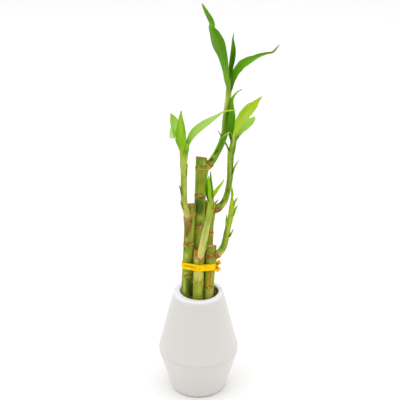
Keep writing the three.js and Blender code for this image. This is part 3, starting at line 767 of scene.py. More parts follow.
def cane_values(name, z, azimuth):
    values = dict.fromkeys(MASKS, 0.0)
    # Clouds of colour on the far side.
    way = direction(azimuth)
    for i, kind in enumerate(("brown", "dark", "yellow")):
        cloud = round_ripple(way, 1.5, z * 0.07, 80 + 9 * i + len(name))
        values[kind] = 0.8 * smoothstep(way.y, 0.1, 0.6) * clamp(cloud * 3 - 0.5)
    for kind, spots in MARKS[name].items():
        values[kind] = max(values[kind], *(mark_share(z, azimuth, *spot) for spot in spots))
    return values


def v_mark(shoot, cane, z, azimuth):
    """The scar that dips under the foot of a shoot that rises along the cane."""
    if "v_scar" not in shoot:
        return 0.0
    foot, low, high, thick = shoot["v_scar"]
    centre = cane_axis(cane, low)
    bearing = degrees(atan2(foot[1] - centre.y, foot[0] - centre.x))
    share = abs(turned(azimuth, bearing)) / V_REACH
    if share > 1:
        return 0.0
    return bump_at(z, lerp(low, high, share), lerp(thick, thick * 0.6, share))


def make_cane(name, material):
    cane, shoot = CANES[name], SHOOTS[name]
    radius, top = cane["radius"], cane["top"]
    seed = list(CANES).index(name) + 1
    lean = UP.rotation_difference(cane_axis(cane, top) - cane_axis(cane, CANE_FOOT))
    tilt, cut_back = tan(radians(cane["tilt"])), tan(radians(cane["cut_back"]))
    skin = Skin()
    rings = []

    def add_ring(z, size=None, sink=0.0, **fixed):
        """A ring of the skin, or of the cut top where it has a size."""
        ring = []
        for azimuth in range(-180, 180, 360 // CANE_SIDES):
            relief, scar, red = ring_relief(cane, z, azimuth)
            mark = v_mark(shoot, cane, z, azimuth)
            relief += burl_relief(cane, z, azimuth) + 0.2 * mark
            values = cane_values(name, z, azimuth)
            for kind, most in (("scar", max(scar, 0.5 * mark)), ("red", max(red, mark)), ("orange", mark)):
                values[kind] = max(values[kind], most)
            way = direction(azimuth)
            reach = radius + relief if size is None else size
            flute = round_ripple(way, 1.6, z * 0.03, seed)
            pitting = round_ripple(way, 6, z * 0.25, seed + 20)
            reach += (0.1 * flute + 0.04 * pitting) * clamp(reach / radius)
            level = (way.x * tilt - way.y * cut_back) * reach * smoothstep(z, top - 3, top)
            point = cane_axis(cane, z) + lean @ (way * reach) + UP * (level - sink)
            ring.append(skin.add(point, **{**values, **fixed}))
        rings.append(ring)

    for z in cane_rows(cane):
        add_ring(z)
    cut, pith, aged = cane["cut"]
    add_ring(top - 0.8, radius, red=0.5)
    add_ring(top - 0.45, radius + 0.03, cut=0.6 * cut)
    add_ring(top - 0.15, radius - 0.1, cut=cut, brown=0.5 * aged)
    add_ring(top, radius - 0.4, cut=cut, brown=0.7 * aged)
    for share, sink in ((0.88, 0.05), (0.8, 0.22), (0.68, 0.36), (0.5, 0.42), (0.3, 0.5), (0.12, 0.45)):
        core = pith * smoothstep(0.86 - share, 0, 0.12)
        add_ring(top, radius * share, sink, cut=cut, pith=core, brown=aged)
    skin.tube(rings)
    if "bark" in shoot:
        add_collar(skin, cane, shoot, seed)
    build_mesh(f"cane_{name}_skin", skin, material, f"cane_{name}", "cane")


def collar_bark(shoot, share, way, seed):
    """Corky brown patches on a collar, thickest towards its lip."""
    start, strength = shoot["bark"]
    patch = round_ripple(way, 1.6, share * 2.6, seed + 60)
    speck = round_ripple(way, 5, share * 9, seed + 70)
    cover = strength * smoothstep(share, start, start + 0.25) * clamp(1.25 + patch)
    return {"red": 0.9 * cover * clamp(0.8 + speck), "brown": 0.6 * cover, "orange": 0.5 * cover,
            "scar": clamp(speck * 2.4 - 0.2) * cover, "yellow": 0.45 * (1 - cover),
            "dark": clamp(patch * 2 - 0.2) * (1 - cover)}


def add_collar(skin, cane, shoot, seed):
    """The rough brown stub of wood that the shoot grows out of."""
    stem = Strand(shoot["stem"])
    radius, start = stem.size(0), stem.path.at(0)
    inside = cane_axis(cane, start.z - cane["radius"] / 3).lerp(start, 1 / 3)
    reach = stem.path.share_after(shoot["collar"])
    spots = [(inside, radius - 0.4), (inside.lerp(start, 0.5), radius)]
    for i in range(COLLAR_STEPS + 1):
        t = i / COLLAR_STEPS
        swell = shoot["swell"] * sin(pi * min(t * 1.15, 1) * 0.8)
        wrinkle = 0.14 * sin(t * shoot["collar"] * 5.2)
        spots.append((stem.path.at(reach * t), radius + 0.3 + swell + wrinkle))
    # A lip that turns in to the shoot.
    spots.append((stem.path.at(reach), radius - 0.3))
    rings = []
    for i, (spot, size) in enumerate(spots):
        ahead, _ = spots[min(i + 1, len(spots) - 2)]
        behind, _ = spots[min(max(i - 1, 0), len(spots) - 3)]
        tangent = (ahead - behind).normalized()
        side, front = frame_about(tangent)
        share = i / len(spots)
        ring = []
        for way in around(COLLAR_SIDES):
            rough = 0.22 * round_ripple(way, 1.8, i * 0.35, seed + 40)
            lip = 0.5 * share * round_ripple(way, 1.2, 2, seed + 50)
            point = spot + (side * way[0] + front * way[1]) * (size + rough) + tangent * lip
            ring.append(skin.add(point, **collar_bark(shoot, share, way, seed)))
        rings.append(ring)
    skin.tube(rings)


# Shoots

# The greens of the leaves and stems.
GREENS = {name: hue(code) for name, code in {
    "deep": "#4a800a", "shade": "#2f5a0c", "mid": "#548b06", "fresh": "#64a40a", "bright": "#90be1c",
    "lime": "#aeca2a", "pale": "#a2cc52", "dusty": "#b4d47a", "stem": "#88a420", "leek": "#7ea026",
    "young": "#aebc40", "spring": "#c4cf5c", "misty": "#c8e092", "cream": "#cfc468",
    "butter": "#dcd880", "olive": "#7f961e", "bottle": "#4f7a16"}.items()}


class Leaf(NamedTuple):
    """A sheath that hugs the stem on the side `out`, in degrees about Z, between the heights
    `feet`, and then a blade through (x, y, z, half width). Each half of it rises from the midrib
    by `fold` degrees, its upper face looks at `faces` at its middle and its tip, `tint` names its
    greens at the sheath, the blade and the tip, and `dry` is the share that has withered. Its
    `patches` are greens by shares: along, across (-1 to 1), half lengths and strength."""
    out: float
    feet: tuple
    fold: float
    faces: tuple
    tint: tuple
    dry: float
    blade: list
    patches: list = ()
    waver: float = 0.015
    small: bool = False


def bract(*facts, **more):
    """A small leaf that stands close to its stem."""
    return Leaf(*facts, **more, small=True)


# A shoot's stem goes through (x, y, z, radius), and `greens` are its colours by height. Its
# `marks` are like the canes', with a green first. A shoot that rises along its cane has a `root`
# in the wood and a `v_scar` under it: the scar's foot, low and high heights and thickness. The
# others grow from a `collar` of that length, with a `swell`, and with bark from a share of its
# length on, at a strength.
SHOOTS = {
    "tall": {
        "collar": 4.6, "swell": 0.1, "bark": (0.4, 0.9),
        "stem": [(9, 9, 247.5, 3.9), (13.5, 9, 253, 3.6), (18.5, 8.5, 262, 3.3), (22.4, 8, 271, 3.3),
            (25.7, 7.5, 282, 3.4), (26.3, 6.5, 294, 3.2), (27.3, 5.5, 305.5, 2.9), (28.3, 4.5, 316, 2.6),
            (28.8, 3.5, 326, 2.4), (29.2, 3, 336.5, 1.4)],
        "greens": [(247, "stem"), (256, "stem"), (270, "fresh"), (285, "leek"), (300, "olive"),
            (306, "stem"), (310, "butter"), (317, "spring"), (325, "leek"), (335, "fresh")],
        "marks": [("shade", 263.5, -112, 2.8, 24, 1, 1.5), ("shade", 254.6, -116, 2.2, 30, 1),
            ("shade", 250.5, -142, 2, 22, 0.8), ("dusty", 258.6, -118, 1.5, 20, 0.5),
            ("bright", 270, -146, 9, 22, 0.9, 2), ("bright", 260, -150, 3, 18, 0.8),
            ("shade", 297, -56, 9, 40, 1), ("butter", 310.5, -144, 7, 46, 1),
            ("bright", 294, -140, 12, 30, 0.8), ("bottle", 272, -96, 6, 22, 0.6),
            ("stem", 262, -50, 8, 30, 0.8)],
        "leaves": [
            Leaf(-110, (306, 327), 14, ((75, 10), (62, 25)), ("leek", "mid", "fresh"), 0.02,
                waver=0.02, blade=[(26.4, -0.5, 336.3, 2.7), (25.1, -3, 345, 3.2), (22.2, -7, 358, 4.7),
                (18.3, -12, 369.5, 6.4), (14.7, -17, 379.3, 4.9), (12, -19, 385.2, 2.9),
                (12.2, -21, 388.9, 2.6), (10.5, -23.5, 393.5, 2.7), (7, -26.5, 399.5, 2.2),
                (5.1, -28, 403.2, 1.4), (3.4, -30, 407.4, 0.35)], patches=[
                # The pale patch on one half is a painted sheen, and the deep and shade patches near the
                # tip are painted shadow of its fold.
                ("pale", 0.55, 0.6, 0.22, 0.5, 0.2), ("deep", 0.88, -0.6, 0.12, 0.5, 0.5),
                ("shade", 0.76, 0.5, 0.05, 0.5, 0.5), ("pale", 0.19, 0, 0.09, 2, 0.3),
                ("bright", 0.64, 0, 0.06, 2, 0.25)]),
            Leaf(100, (318, 330), 50, ((-75, 5), (-60, 5)), ("stem", "deep", "fresh"), 0.05, blade=[
                (29.6, 5, 338, 2.8), (29.9, 5, 345.5, 3.4), (31, 4.5, 354, 4.1), (31.7, 4.5, 361.5, 3.9),
                (31.6, 4.5, 368, 2.5), (31.7, 5, 373, 1.3), (32.9, 5.5, 377.5, 0.35)], patches=[
                ("fresh", 0.74, 0.3, 0.14, 1, 0.9)]),
            Leaf(30, (310, 322), 22, ((-100, 45), (-100, 60)), ("leek", "fresh", "mid"), 0.06,
                waver=0.05, blade=[(31.2, 5, 327, 3.2), (32.7, 5, 333.6, 3.5), (35.6, 5, 340.6, 4.1),
                (39.7, 5.5, 346.4, 4.7), (45.6, 6.5, 350.6, 4.7), (53.5, 8, 354.7, 2.9),
                (63, 9.5, 357.9, 1.9), (70, 10.5, 359.2, 1.3), (75.8, 11, 366.4, 0.35)], patches=[
                ("pale", 0.78, 0.7, 0.14, 0.4, 0.5), ("bottle", 0.8, -0.4, 0.12, 0.6, 0.6)]),
        ],
    },
    "left": {
        "v_scar": ((-10.5, -3), 194.6, 202.4, 2.2), "root": [(-9.6, 0.8, 195.5, 2.2)],
        "stem": [(-11.1, -2.8, 200.5, 3), (-12.5, -4, 206, 3.2), (-13.5, -4.5, 212, 3.1),
            (-14.1, -4.5, 219, 3.15), (-14.3, -4, 231.5, 3.1), (-14.2, -4, 244, 3), (-14.4, -4, 256, 3.4),
            (-14.7, -4, 266.5, 3.2), (-15, -4, 273.5, 1.6)],
        "greens": [(198, "butter"), (208, "cream"), (222, "young"), (240, "young"), (258, "spring"),
            (274, "bright")],
        "marks": [("butter", 204, -90, 8, 30, 0.7), ("butter", 236, -60, 12, 20, 0.6),
            ("cream", 203, -100, 5, 44, 0.8), ("stem", 226, -120, 14, 26, 0.5),
            ("stem", 262, -110, 8, 20, 0.3)],
        "leaves": [
            Leaf(-90, (252, 266), 16, ((90, 10), (90, 20)), ("young", "bright", "bright"), 0.04, blade=[
                (-15.7, -8.5, 274.5, 4.2), (-16.3, -9.5, 282, 5.2), (-16.4, -11, 289, 4.6),
                (-16.3, -12.5, 296.5, 3.4), (-16.2, -14, 303.5, 1.8), (-15.6, -15, 310, 0.35)], patches=[
                ("fresh", 0.3, 0.2, 0.14, 0.7, 0.4), ("fresh", 0.5, 0.85, 0.24, 0.4, 0.9),
                ("fresh", 0.62, -0.9, 0.14, 0.4, 0.9), ("lime", 0.7, 0, 0.2, 0.3, 0.5)]),
            Leaf(130, (254, 267), 14, ((-60, 30), (-60, 40)), ("young", "pale", "pale"), 0.02, blade=[
                (-19, 0.5, 276, 3.4), (-21, 3, 282.5, 4.8), (-22.3, 6, 288.5, 5.4),
                (-23.9, 8.5, 294.6, 4.3), (-26.6, 11, 300.7, 0.35)], patches=[
                ("dusty", 0.62, 0.3, 0.2, 0.6, 0.6), ("bright", 0.93, 0, 0.1, 1.2, 0.8)]),
            Leaf(165, (256, 268), 12, ((-132, 10), (-139, 8)), ("misty", "misty", "dusty"), 0, blade=[
                (-20.3, 0, 280.2, 4.1), (-22.4, 4, 281.8, 4.6), (-24.8, 8, 281.4, 4.9),
                (-27, 10.9, 281, 4.8), (-27.9, 12, 280.9, 0.4)]),
            Leaf(35, (250, 264), 16, ((-105, 45), (-105, 60)), ("young", "pale", "lime"), 0.03, blade=[
                (-10.4, -4, 271.6, 2.6), (-8.1, -4.5, 278.4, 3.5), (-4.6, -5, 284.7, 4.4),
                (-0.4, -5, 288.9, 4.7), (5, -4.5, 293, 4.3), (11.7, -4, 297.4, 3.2), (19, -4, 302.5, 1.7),
                (23.6, -4.5, 305.8, 0.95), (27.9, -5.5, 307.2, 1), (31.7, -5.5, 307.5, 0.85),
                (35.6, -5, 308, 0.35)], patches=[("dusty", 0.62, 0, 0.16, 0.8, 0.7)]),
            bract(-50, (245, 257), 20, ((130, 10), (130, 20)), ("young", "fresh", "bright"), 0.03, blade=[
                (-10.8, -7.5, 265.5, 3.4), (-9.7, -8, 271, 3.8), (-10, -8.5, 277.6, 0.4)]),
            bract(-30, (230, 238), 15, ((-150, 0), (-150, 10)), ("stem", "fresh", "mid"), 0.05, blade=[
                (-11.2, -5, 243.5, 1.5), (-10.8, -5.5, 249.5, 1.2), (-10.3, -5.5, 255, 0.35)]),
            bract(-140, (212, 220), 15, ((-20, 0), (-20, 10)), ("young", "stem", "mid"), 0.1, blade=[
                (-17.3, -6.5, 226, 1.4), (-18.2, -6.5, 230.5, 1), (-18.7, -7, 233.5, 0.35)]),
            bract(-125, (200, 205), 15, ((-15, 0), (-15, 10)), ("young", "stem", "mid"), 0.1, blade=[
                (-16, -7, 209.5, 1.2), (-17, -7, 213.5, 0.8), (-17.5, -7.5, 217, 0.35)]),
        ],
    },
    "front": {
        "v_scar": ((2.5, -10.5), 155.4, 158.2, 2.2), "root": [(1.5, -8.2, 156, 2.9)],
        "stem": [(2.7, -10.9, 161, 3.4), (3.7, -13, 167, 3.7), (5, -14, 174.5, 3.6), (6.5, -14, 183, 3.3),
            (9, -13.5, 195.5, 2.9), (11, -13, 206.5, 2.9), (12.5, -12.5, 216, 2.5),
            (12.5, -12, 224, 1.5)],
        "greens": [(155, "butter"), (178, "butter"), (190, "butter"), (200, "spring"), (212, "young"),
            (224, "fresh")],
        "marks": [("bright", 172, -50, 9, 20, 0.8), ("cream", 176, -100, 10, 16, 0.6),
            ("bright", 190, -120, 8, 20, 0.25), ("stem", 203, -60, 8, 26, 0.4),
            ("cream", 196, -80, 9, 14, 0.5)],
        "leaves": [
            bract(170, (205, 215), 25, ((-60, 0), (-60, 10)), ("young", "fresh", "bright"), 0.05, blade=[
                (8.8, -11, 222.5, 2.4), (7.5, -10.5, 229.5, 2.9), (7.3, -10.5, 237.5, 2.4),
                (7.5, -11, 245.5, 0.35)]),
            bract(-110, (207, 218), 20, ((70, 0), (70, 10)), ("young", "bright", "bright"), 0.04, blade=[
                (10.8, -14.5, 226, 2.2), (10.5, -15, 234.5, 2), (9.7, -15, 240.5, 1.3),
                (9.5, -14.5, 246, 0.35)]),
            bract(60, (209, 219), 25, ((-95, 20), (-95, 20)), ("bright", "bright", "fresh"), 0.05, blade=[
                (13.4, -12, 226, 2.4), (12.6, -12, 234.5, 2), (12, -12, 242.5, 1.3),
                (12, -12, 250, 0.35)]),
            bract(-15, (206, 217), 20, ((-105, 40), (-100, 50)), ("young", "lime", "lime"), 0.05, blade=[
                (15, -13.5, 223.5, 2.2), (17.4, -14, 228.8, 2.4), (20.2, -14.5, 233.6, 1.9),
                (23, -15, 238.2, 1.2), (25, -15, 242, 0.35)]),
            bract(-35, (203, 210), 15, ((-130, 30), (-130, 30)), ("young", "bright", "bottle"),
                0.12, blade=[(16.5, -14.5, 216.5, 1.5), (19.5, -15, 221.5, 0.35)]),
        ],
    },
    "right": {
        "collar": 4.6, "swell": 0.45, "bark": (-0.3, 1),
        "stem": [(17.5, -5, 156.5, 3.5), (21.5, -6, 160.5, 3.7), (25.4, -7.5, 167.5, 3.4),
            (27.3, -8, 175, 3.2), (28.8, -8, 184, 3), (31, -8, 195, 2.8), (32.4, -8, 204, 2.7),
            (33, -8, 212, 2.3), (33.5, -8, 219.5, 1.3)],
        "greens": [(156, "cream"), (162, "cream"), (170, "stem"), (184, "young"), (205, "lime"),
            (219, "lime")],
        "marks": [("bottle", 180, -152, 12, 38, 0.85), ("cream", 192, -80, 10, 16, 0.3),
            ("fresh", 168, -130, 4, 30, 0.7), ("bottle", 166.5, -50, 0.8, 40, 0.6),
            ("cream", 178, -60, 6, 18, 0.4)],
        "leaves": [
            bract(180, (206, 216), 20, ((-50, 0), (-50, 10)), ("lime", "bright", "lime"), 0.05, blade=[
                (32.7, -8, 223.5, 1.9), (32.3, -8, 229, 1.4), (32.2, -8, 234, 0.35)]),
            bract(0, (202, 210), 15, ((-120, 20), (-120, 20)), ("lime", "lime", "bright"), 0.05, blade=[
                (35.6, -8.5, 215, 1.7), (37, -9, 218, 1.3), (38.5, -9.5, 221.5, 0.35)]),
            bract(-20, (191, 199), 15, ((-125, 20), (-125, 20)), ("young", "lime", "bright"),
                0.05, blade=[(35.4, -8.5, 204.5, 2), (37, -9, 209, 1.5), (38.5, -10, 213.5, 0.35)]),
            bract(-150, (178, 185), 15, ((-60, 10), (-60, 10)), ("stem", "bright", "fresh"), 0.06, blade=[
                (27.5, -10.5, 191.5, 1.7), (27.5, -10.5, 198, 1.3), (28, -11, 203.5, 0.35)]),
            bract(-10, (174, 179), 10, ((-130, 20), (-130, 20)), ("young", "lime", "lime"), 0.15, blade=[
                (33.4, -9, 183.5, 1.2), (35, -9, 187.5, 0.4)]),
        ],
    },
    "back_right": {
        "collar": 7.5, "swell": 0.3, "bark": (-0.1, 0.9),
        "stem": [(15.5, 12.5, 199.5, 3.7), (20.5, 11.5, 202.5, 3.8), (25.5, 10, 208.5, 3.3),
            (28.4, 8, 217, 3), (30.4, 6, 228, 2.9), (31.4, 4.5, 239, 3), (31.4, 3, 252, 3.1),
            (32, 1.5, 263.5, 3.1), (33.7, 0.5, 274, 2.8), (34.7, 0, 282, 1.6)],
        "greens": [(199, "cream"), (206, "stem"), (214, "stem"), (226, "stem"), (245, "stem"),
            (262, "leek"), (274, "stem")],
        "marks": [("shade", 224.5, -97, 3.2, 28, 0.7), ("shade", 210, -140, 3.4, 34, 0.8),
            ("butter", 209, -70, 4, 40, 0.7), ("olive", 238, -135, 11, 30, 0.6),
            ("fresh", 236, -52, 10, 30, 0.5), ("bright", 262, -136, 13, 34, 0.7),
            ("cream", 254, -88, 12, 16, 0.4), ("bottle", 260, -52, 12, 26, 0.7),
            ("shade", 268, -62, 9, 5, 0.9), ("butter", 276, -92, 6, 22, 0.5),
            ("fresh", 281, -110, 5, 60, 0.8)],
        "leaves": [
            Leaf(125, (262, 275), 30, ((-65, 5), (-80, 40)), ("fresh", "fresh", "bright"), 0.04, blade=[
                (31.3, 1.5, 283.5, 3.7), (30.2, 1, 291, 5.1), (29.5, 0.5, 297, 6.1),
                (29.9, 0.5, 303.5, 5.3), (30.4, 0.5, 310.5, 3.6), (31.5, 0.5, 316, 2.1),
                (33.6, 1.1, 320, 1.2), (36.6, 1.5, 323.3, 0.75), (41.5, 1.5, 326.3, 0.35)], patches=[
                ("shade", 0.52, -0.75, 0.26, 0.6, 0.9)]),
            Leaf(-50, (261, 275), 12, ((105, 5), (105, 20)), ("fresh", "lime", "lime"), 0.02,
                waver=0.04, blade=[(35.5, -2.5, 283.6, 2.8), (37.6, -3.5, 290, 3.4), (40, -5, 296.8, 4.8),
                (43.4, -6.5, 302.1, 5.9), (46.5, -8, 307.2, 6.1), (50.3, -9.5, 311.8, 5.3),
                (54.6, -11, 317, 2.7), (59.1, -12.5, 322.5, 0.35)], patches=[
                ("bright", 0.62, 0.75, 0.2, 0.4, 0.8), ("butter", 0.6, -0.15, 0.12, 0.3, 0.25),
                ("fresh", 0.04, 0, 0.16, 2, 0.9)]),
            Leaf(35, (264, 275), 14, ((-110, 40), (-120, 60)), ("stem", "pale", "pale"), 0,
                waver=0.03, blade=[(37.9, 2.5, 281, 3.3), (41.3, 4, 285.6, 4.1), (45.3, 6.5, 288.8, 4.8),
                (49.5, 9.5, 291.8, 4.6), (52.7, 12.5, 294.3, 3.3), (55, 16, 296.5, 0.4)]),
            bract(-170, (256, 265), 10, ((-60, 0), (-60, 20)), ("bright", "fresh", "shade"), 0.08, blade=[
                (27.8, -1, 270.9, 1.3), (24.8, -1.5, 276.6, 0.85), (21.8, -2, 281.9, 0.6),
                (18.5, -2.5, 287.6, 0.35)]),
            bract(-130, (272, 279), 5, ((-90, 60), (-90, 60)), ("pale", "pale", "leek"), 0.05, blade=[
                (30.6, -3, 285.4, 0.8), (27, -3.5, 284, 0.75), (23.7, -4, 281.3, 0.7),
                (20.3, -4, 278.7, 0.35)]),
            bract(-20, (229, 239), 10, ((-150, 0), (-150, 10)), ("bright", "bright", "bright"),
                0.06, blade=[(35, 1.5, 246.5, 1.4), (37, 1, 251.5, 1.1), (39.5, 1, 256.5, 0.35)]),
        ],
    },
}

STEM_SIDES, STEM_STEP = 32, 0.9
# Rows and columns of a blade.
LEAF_GRID, BRACT_GRID = (90, 18), (34, 10)
# A sheath's seat in the stem's radii, its half widths round it, and how far it stands off.
SINK = 0.97
WRAP_FOOT, WRAP_MIDDLE, WRAP_MOUTH = 2.5, 1.75, 1.15
SHEATH_LIFT, SHEATH_DEPTH = 0.12, -0.25
TIP_HALF = 0.32
BRACT_CURL = 0.85


def stem_colour(shoot, z):
    stops = shoot["greens"]
    for (low, a), (high, b) in zip(stops, stops[1:]):
        if z <= high:
            return mixed(GREENS[a], GREENS[b], smoothstep(z, low, high))
    return GREENS[stops[-1][1]]


def marked(shoot, colour, z, azimuth):
    for green, *spot in shoot["marks"]:
        colour = mixed(colour, GREENS[green], mark_share(z, azimuth, *spot))
    return colour


def add_stem(skin, shoot, seed):
    stem = Strand(shoot.get("root", []) + shoot["stem"])
    steps = round(stem.path.length() / STEM_STEP)
    rings = []
    for i in range(steps + 1):
        share = i / steps
        centre = stem.path.at(share)
        side, front = frame_about(stem.path.tangent(share))
        scar = max(bump_at(centre.z, leaf.feet[0] - 0.6, 0.55) for leaf in shoot["leaves"])
        ring = []
        for turn in around(STEM_SIDES):
            way = side * turn[0] + front * turn[1]
            uneven = 0.07 * round_ripple(turn, 1.5, centre.z * 0.06, seed)
            tone = round_ripple(way, 1.3, centre.z * 0.035, seed + 9)
            colour = mixed(stem_colour(shoot, centre.z), GREENS["cream"], clamp(tone * 0.5))
            colour = mixed(colour, GREENS["bottle"], clamp(-tone * 0.35))
            colour = marked(shoot, colour, centre.z, degrees(atan2(way.y, way.x)))
            point = centre + way * (stem.size(share) + 0.12 * scar + uneven)
            ring.append(skin.add(point, tint=colour, across=turn[0] * 3, along=share,
                                 deep=0.25 * clamp(-tone * 2 - 0.3), pale=0.1 * scar))
        rings.append(ring)
    skin.tube(rings)


def add_leaf(skin, shoot, stem, leaf, seed):
    outward = direction(leaf.out)
    middle_face, tip_face = (direction(*face) for face in leaf.faces)
    sheath_tint, blade_tint, tip_tint = (GREENS[name] for name in leaf.tint)
    rows, columns = BRACT_GRID if leaf.small else LEAF_GRID
    feet = [stem.share_at(z) for z in leaf.feet]
    hug = [stem.size(share) for share in feet]
    seats = [stem.path.at(share) + outward * (SINK * radius) for share, radius in zip(feet, hug)]
    curve = Path(seats + [point[:3] for point in leaf.blade])
    spans = len(leaf.blade) + 1
    opens = 1 / spans
    half_at = Smooth([(0, WRAP_FOOT * hug[0]), (opens * 0.55, WRAP_MIDDLE * hug[0]),
                      (opens, WRAP_MOUTH * hug[1]),
                      *(((i + 2) / spans, point[3]) for i, point in enumerate(leaf.blade[:-1])),
                      (1, TIP_HALF)])
    broad = max(point[3] for point in leaf.blade)
    # An older sheath starts lower on the stem and lies over the younger ones.
    over = sum(leaf.feet[0] < other.feet[0] < leaf.feet[1] + 4 for other in shoot["leaves"])
    lift = SHEATH_LIFT * (1 + over)
    rings = []
    for i in range(rows + 1):
        share = i / rows
        hugged = clamp(share / opens)
        loose = smoothstep(share, opens * 0.9, opens * 2.2)
        fold = radians(leaf.fold) * smoothstep(share, opens, opens * 3)
        half = half_at(share) * sqrt(1 - 0.97 * clamp((share - 0.96) / 0.04) ** 2)
        curl = lerp(1 / (lerp(*hug, hugged) * SINK), BRACT_CURL / half if leaf.small else 0.0, loose)
        facing = (-outward).lerp(middle_face, smoothstep(share, opens, 0.5))
        facing = facing.lerp(tip_face, smoothstep(share, 0.55, 1))
        tangent = curve.tangent(share)
        normal = (facing - tangent * facing.dot(tangent)).normalized()
        side = tangent.cross(normal)
        # The sheath's foot is sunk in the stem and its mouth stands off it.
        raised = lerp(SHEATH_DEPTH, lift, smoothstep(share, 0, opens * 0.35)) * (1 - loose)
        centre = curve.at(share) - normal * raised
        on_stem = stem.path.at(lerp(*feet, hugged))
        tint = mixed(sheath_tint, blade_tint, smoothstep(share, opens * 0.7, opens * 2.4))
        tint = mixed(tint, tip_tint, smoothstep(share, 0.55, 0.95))
        withered = smoothstep(share, 1 - leaf.dry * 1.6 - 0.01, 1 - leaf.dry * 0.3)
        front, back = [], []
        for k in range(columns + 1):
            t = 2 * k / columns - 1
            t = copysign(abs(t) ** 1.15, t)
            right = t > 0
            edge = sin(34 * share + seed * 1.7 + right * 2.1) + 0.6 * sin(61 * share + right * 4)
            arc = t * half * (1 + leaf.waver * edge * loose)
            bend = arc * curl
            sideways, inward = arc, 0.0
            if curl > 1e-3:
                sideways, inward = sin(bend) / curl, (1 - cos(bend)) / curl
            rise = (hypot(arc, 0.1 * half) - 0.1 * half) * sin(fold)
            bow = 0.07 * half * loose * sin(pi * abs(t))
            wave = 0.035 * broad * loose * t * t * sin(1.5 * share * spans + seed + right * 1.3)
            slant = bend + copysign(fold * smoothstep(abs(t), 0, 0.15), t)
            point = centre + side * (sideways * cos(fold)) + normal * (inward + rise - bow + wave)
            out = normal * cos(slant) - side * sin(slant)
            thick = lerp(0.4 if leaf.small else 0.34, 0.2, t * t)
            rib = 0.22 * bump_at(t, 0, 0.12) * loose * clamp(half / 3)
            colour = tint
            for green, along, across, long, wide, strength in leaf.patches:
                spread = ((share - along) / long) ** 2 + ((t - across) / wide) ** 2
                colour = mixed(colour, GREENS[green], strength * exp(-spread))
            if loose < 1:
                off = point - on_stem
                colour = mixed(stem_colour(shoot, on_stem.z), colour, lerp(0.35, 1, loose))
                colour = marked(shoot, colour, on_stem.z, degrees(atan2(off.y, off.x)))
            pale_rib = 0.1 * bump_at(t, 0, 0.07) * loose
            pale_edge = 0.55 * (1 - loose) * smoothstep(abs(t), 0.86, 1)
            dry_edge = 0.5 * smoothstep(abs(t), 0.93, 1) * smoothstep(share, 0.8, 1)
            values = {"tint": colour, "across": arc, "along": share * 20,
                      "blade": lerp(0.25, 1, loose), "pale": max(pale_rib, pale_edge),
                      "dry": max(withered, dry_edge)}
            front.append(skin.add(point + out * (thick / 2), **values))
            back.append(skin.add(point - out * (thick / 2 + rib), **values))
        rings.append(front + back[::-1])
    skin.tube(rings)


def make_shoot(name, material):
    shoot = SHOOTS[name]
    stem = Strand(shoot["stem"])
    seed = list(SHOOTS).index(name) + 1
    skin = Skin()
    add_stem(skin, shoot, seed)
    for i, leaf in enumerate(shoot["leaves"]):
        add_leaf(skin, shoot, stem, leaf, seed * 10 + i)
    build_mesh(f"shoot_{name}_leaves", skin, material, f"shoot_{name}", "shoot")


# Ribbon

TIE_HEIGHT, TIE_RISE = 143.3, 0.22
TIE_UP = Vector((0.035, 0.04, 1))
FILM = 0.34
# Rows and columns.
WRAP_GRID, TAIL_GRID, KNOT_GRID = (260, 12), (22, 10), (18, 28)
# Each turn round the canes: its lower and upper edge, how far it stands off them, and a seed.
WRAPS = [(-3.7, 1.2, 0.2, 1), (-1.1, 3.7, 0.45, 2)]
# Each free end: how hollow it is, how strongly its crease is painted in shade, and (x, y, z, half width)
# from the knot on.
TAILS = [
    (0.108, 1, [(18.3, -4.8, 145, 1.3), (19.8, -5.4, 147.8, 2), (21.2, -5.8, 149.5, 2.5),
                (22.7, -6.2, 150.4, 2.3)]),
    (0.063, 0.4, [(17.9, -4.8, 144.6, 1.4), (19, -5.6, 142.8, 2.2), (20.2, -6.2, 141.2, 2.7),
                  (21.5, -6.8, 139.9, 2.7)])]
TAIL_FACE = direction(-70, 20)
KNOT, KNOT_SIZE = Vector((18.4, -4.9, 144.8)), Vector((1.35, 1.6, 2.5))


def ribbon_point(way, offset):
    """Where the ribbon lies in a direction: the cane that is furthest that way holds it out."""
    points = [cane_axis(cane, TIE_HEIGHT - TIE_RISE * cane["at"][1]) + way * (cane["radius"] + offset)
              for cane in CANES.values()]
    point = max(points, key=way.dot)
    point.z = TIE_HEIGHT - TIE_RISE * point.y
    return point


def add_wrap(skin, lower, upper, lift, seed):
    samples, columns = WRAP_GRID
    rings = []
    for x, y in around(samples):
        way = Vector((x, y, 0))
        inner = ribbon_point(way, lift)
        low = lower + 0.45 * round_ripple((x, y), 2, 0, seed)
        high = upper + 0.45 * round_ripple((x, y), 2, 5, seed)
        front, back = [], []
        for k in range(columns + 1):
            t = k / columns
            pleat = ripple(t * 4.2, x * 1.6, y * 1.6, seed + 3)
            pucker = ripple(t * 2, x * 8, y * 8, seed + 6)
            out = 0.28 * pleat + 0.16 * pucker - 0.25 * abs(2 * t - 1) ** 3
            point = inner + TIE_UP * lerp(low, high, t) + way * max(out + 0.2, 0.02)
            # Painted shade: the ribbon darkens in the hollows of its pleats and along its hems.
            fold_shade = clamp(-pleat * 3.2 - 0.15) * clamp(0.55 + pucker * 2)
            hem_shade = 0.8 * smoothstep(abs(2 * t - 1), 0.86, 1) * clamp(0.35 + pucker * 2)
            front.append(skin.add(point + way * FILM, crease=max(fold_shade, hem_shade)))
            back.append(skin.add(point, crease=max(fold_shade, hem_shade)))
        rings.append(front + back[::-1])
    skin.rings(rings + rings[:1])


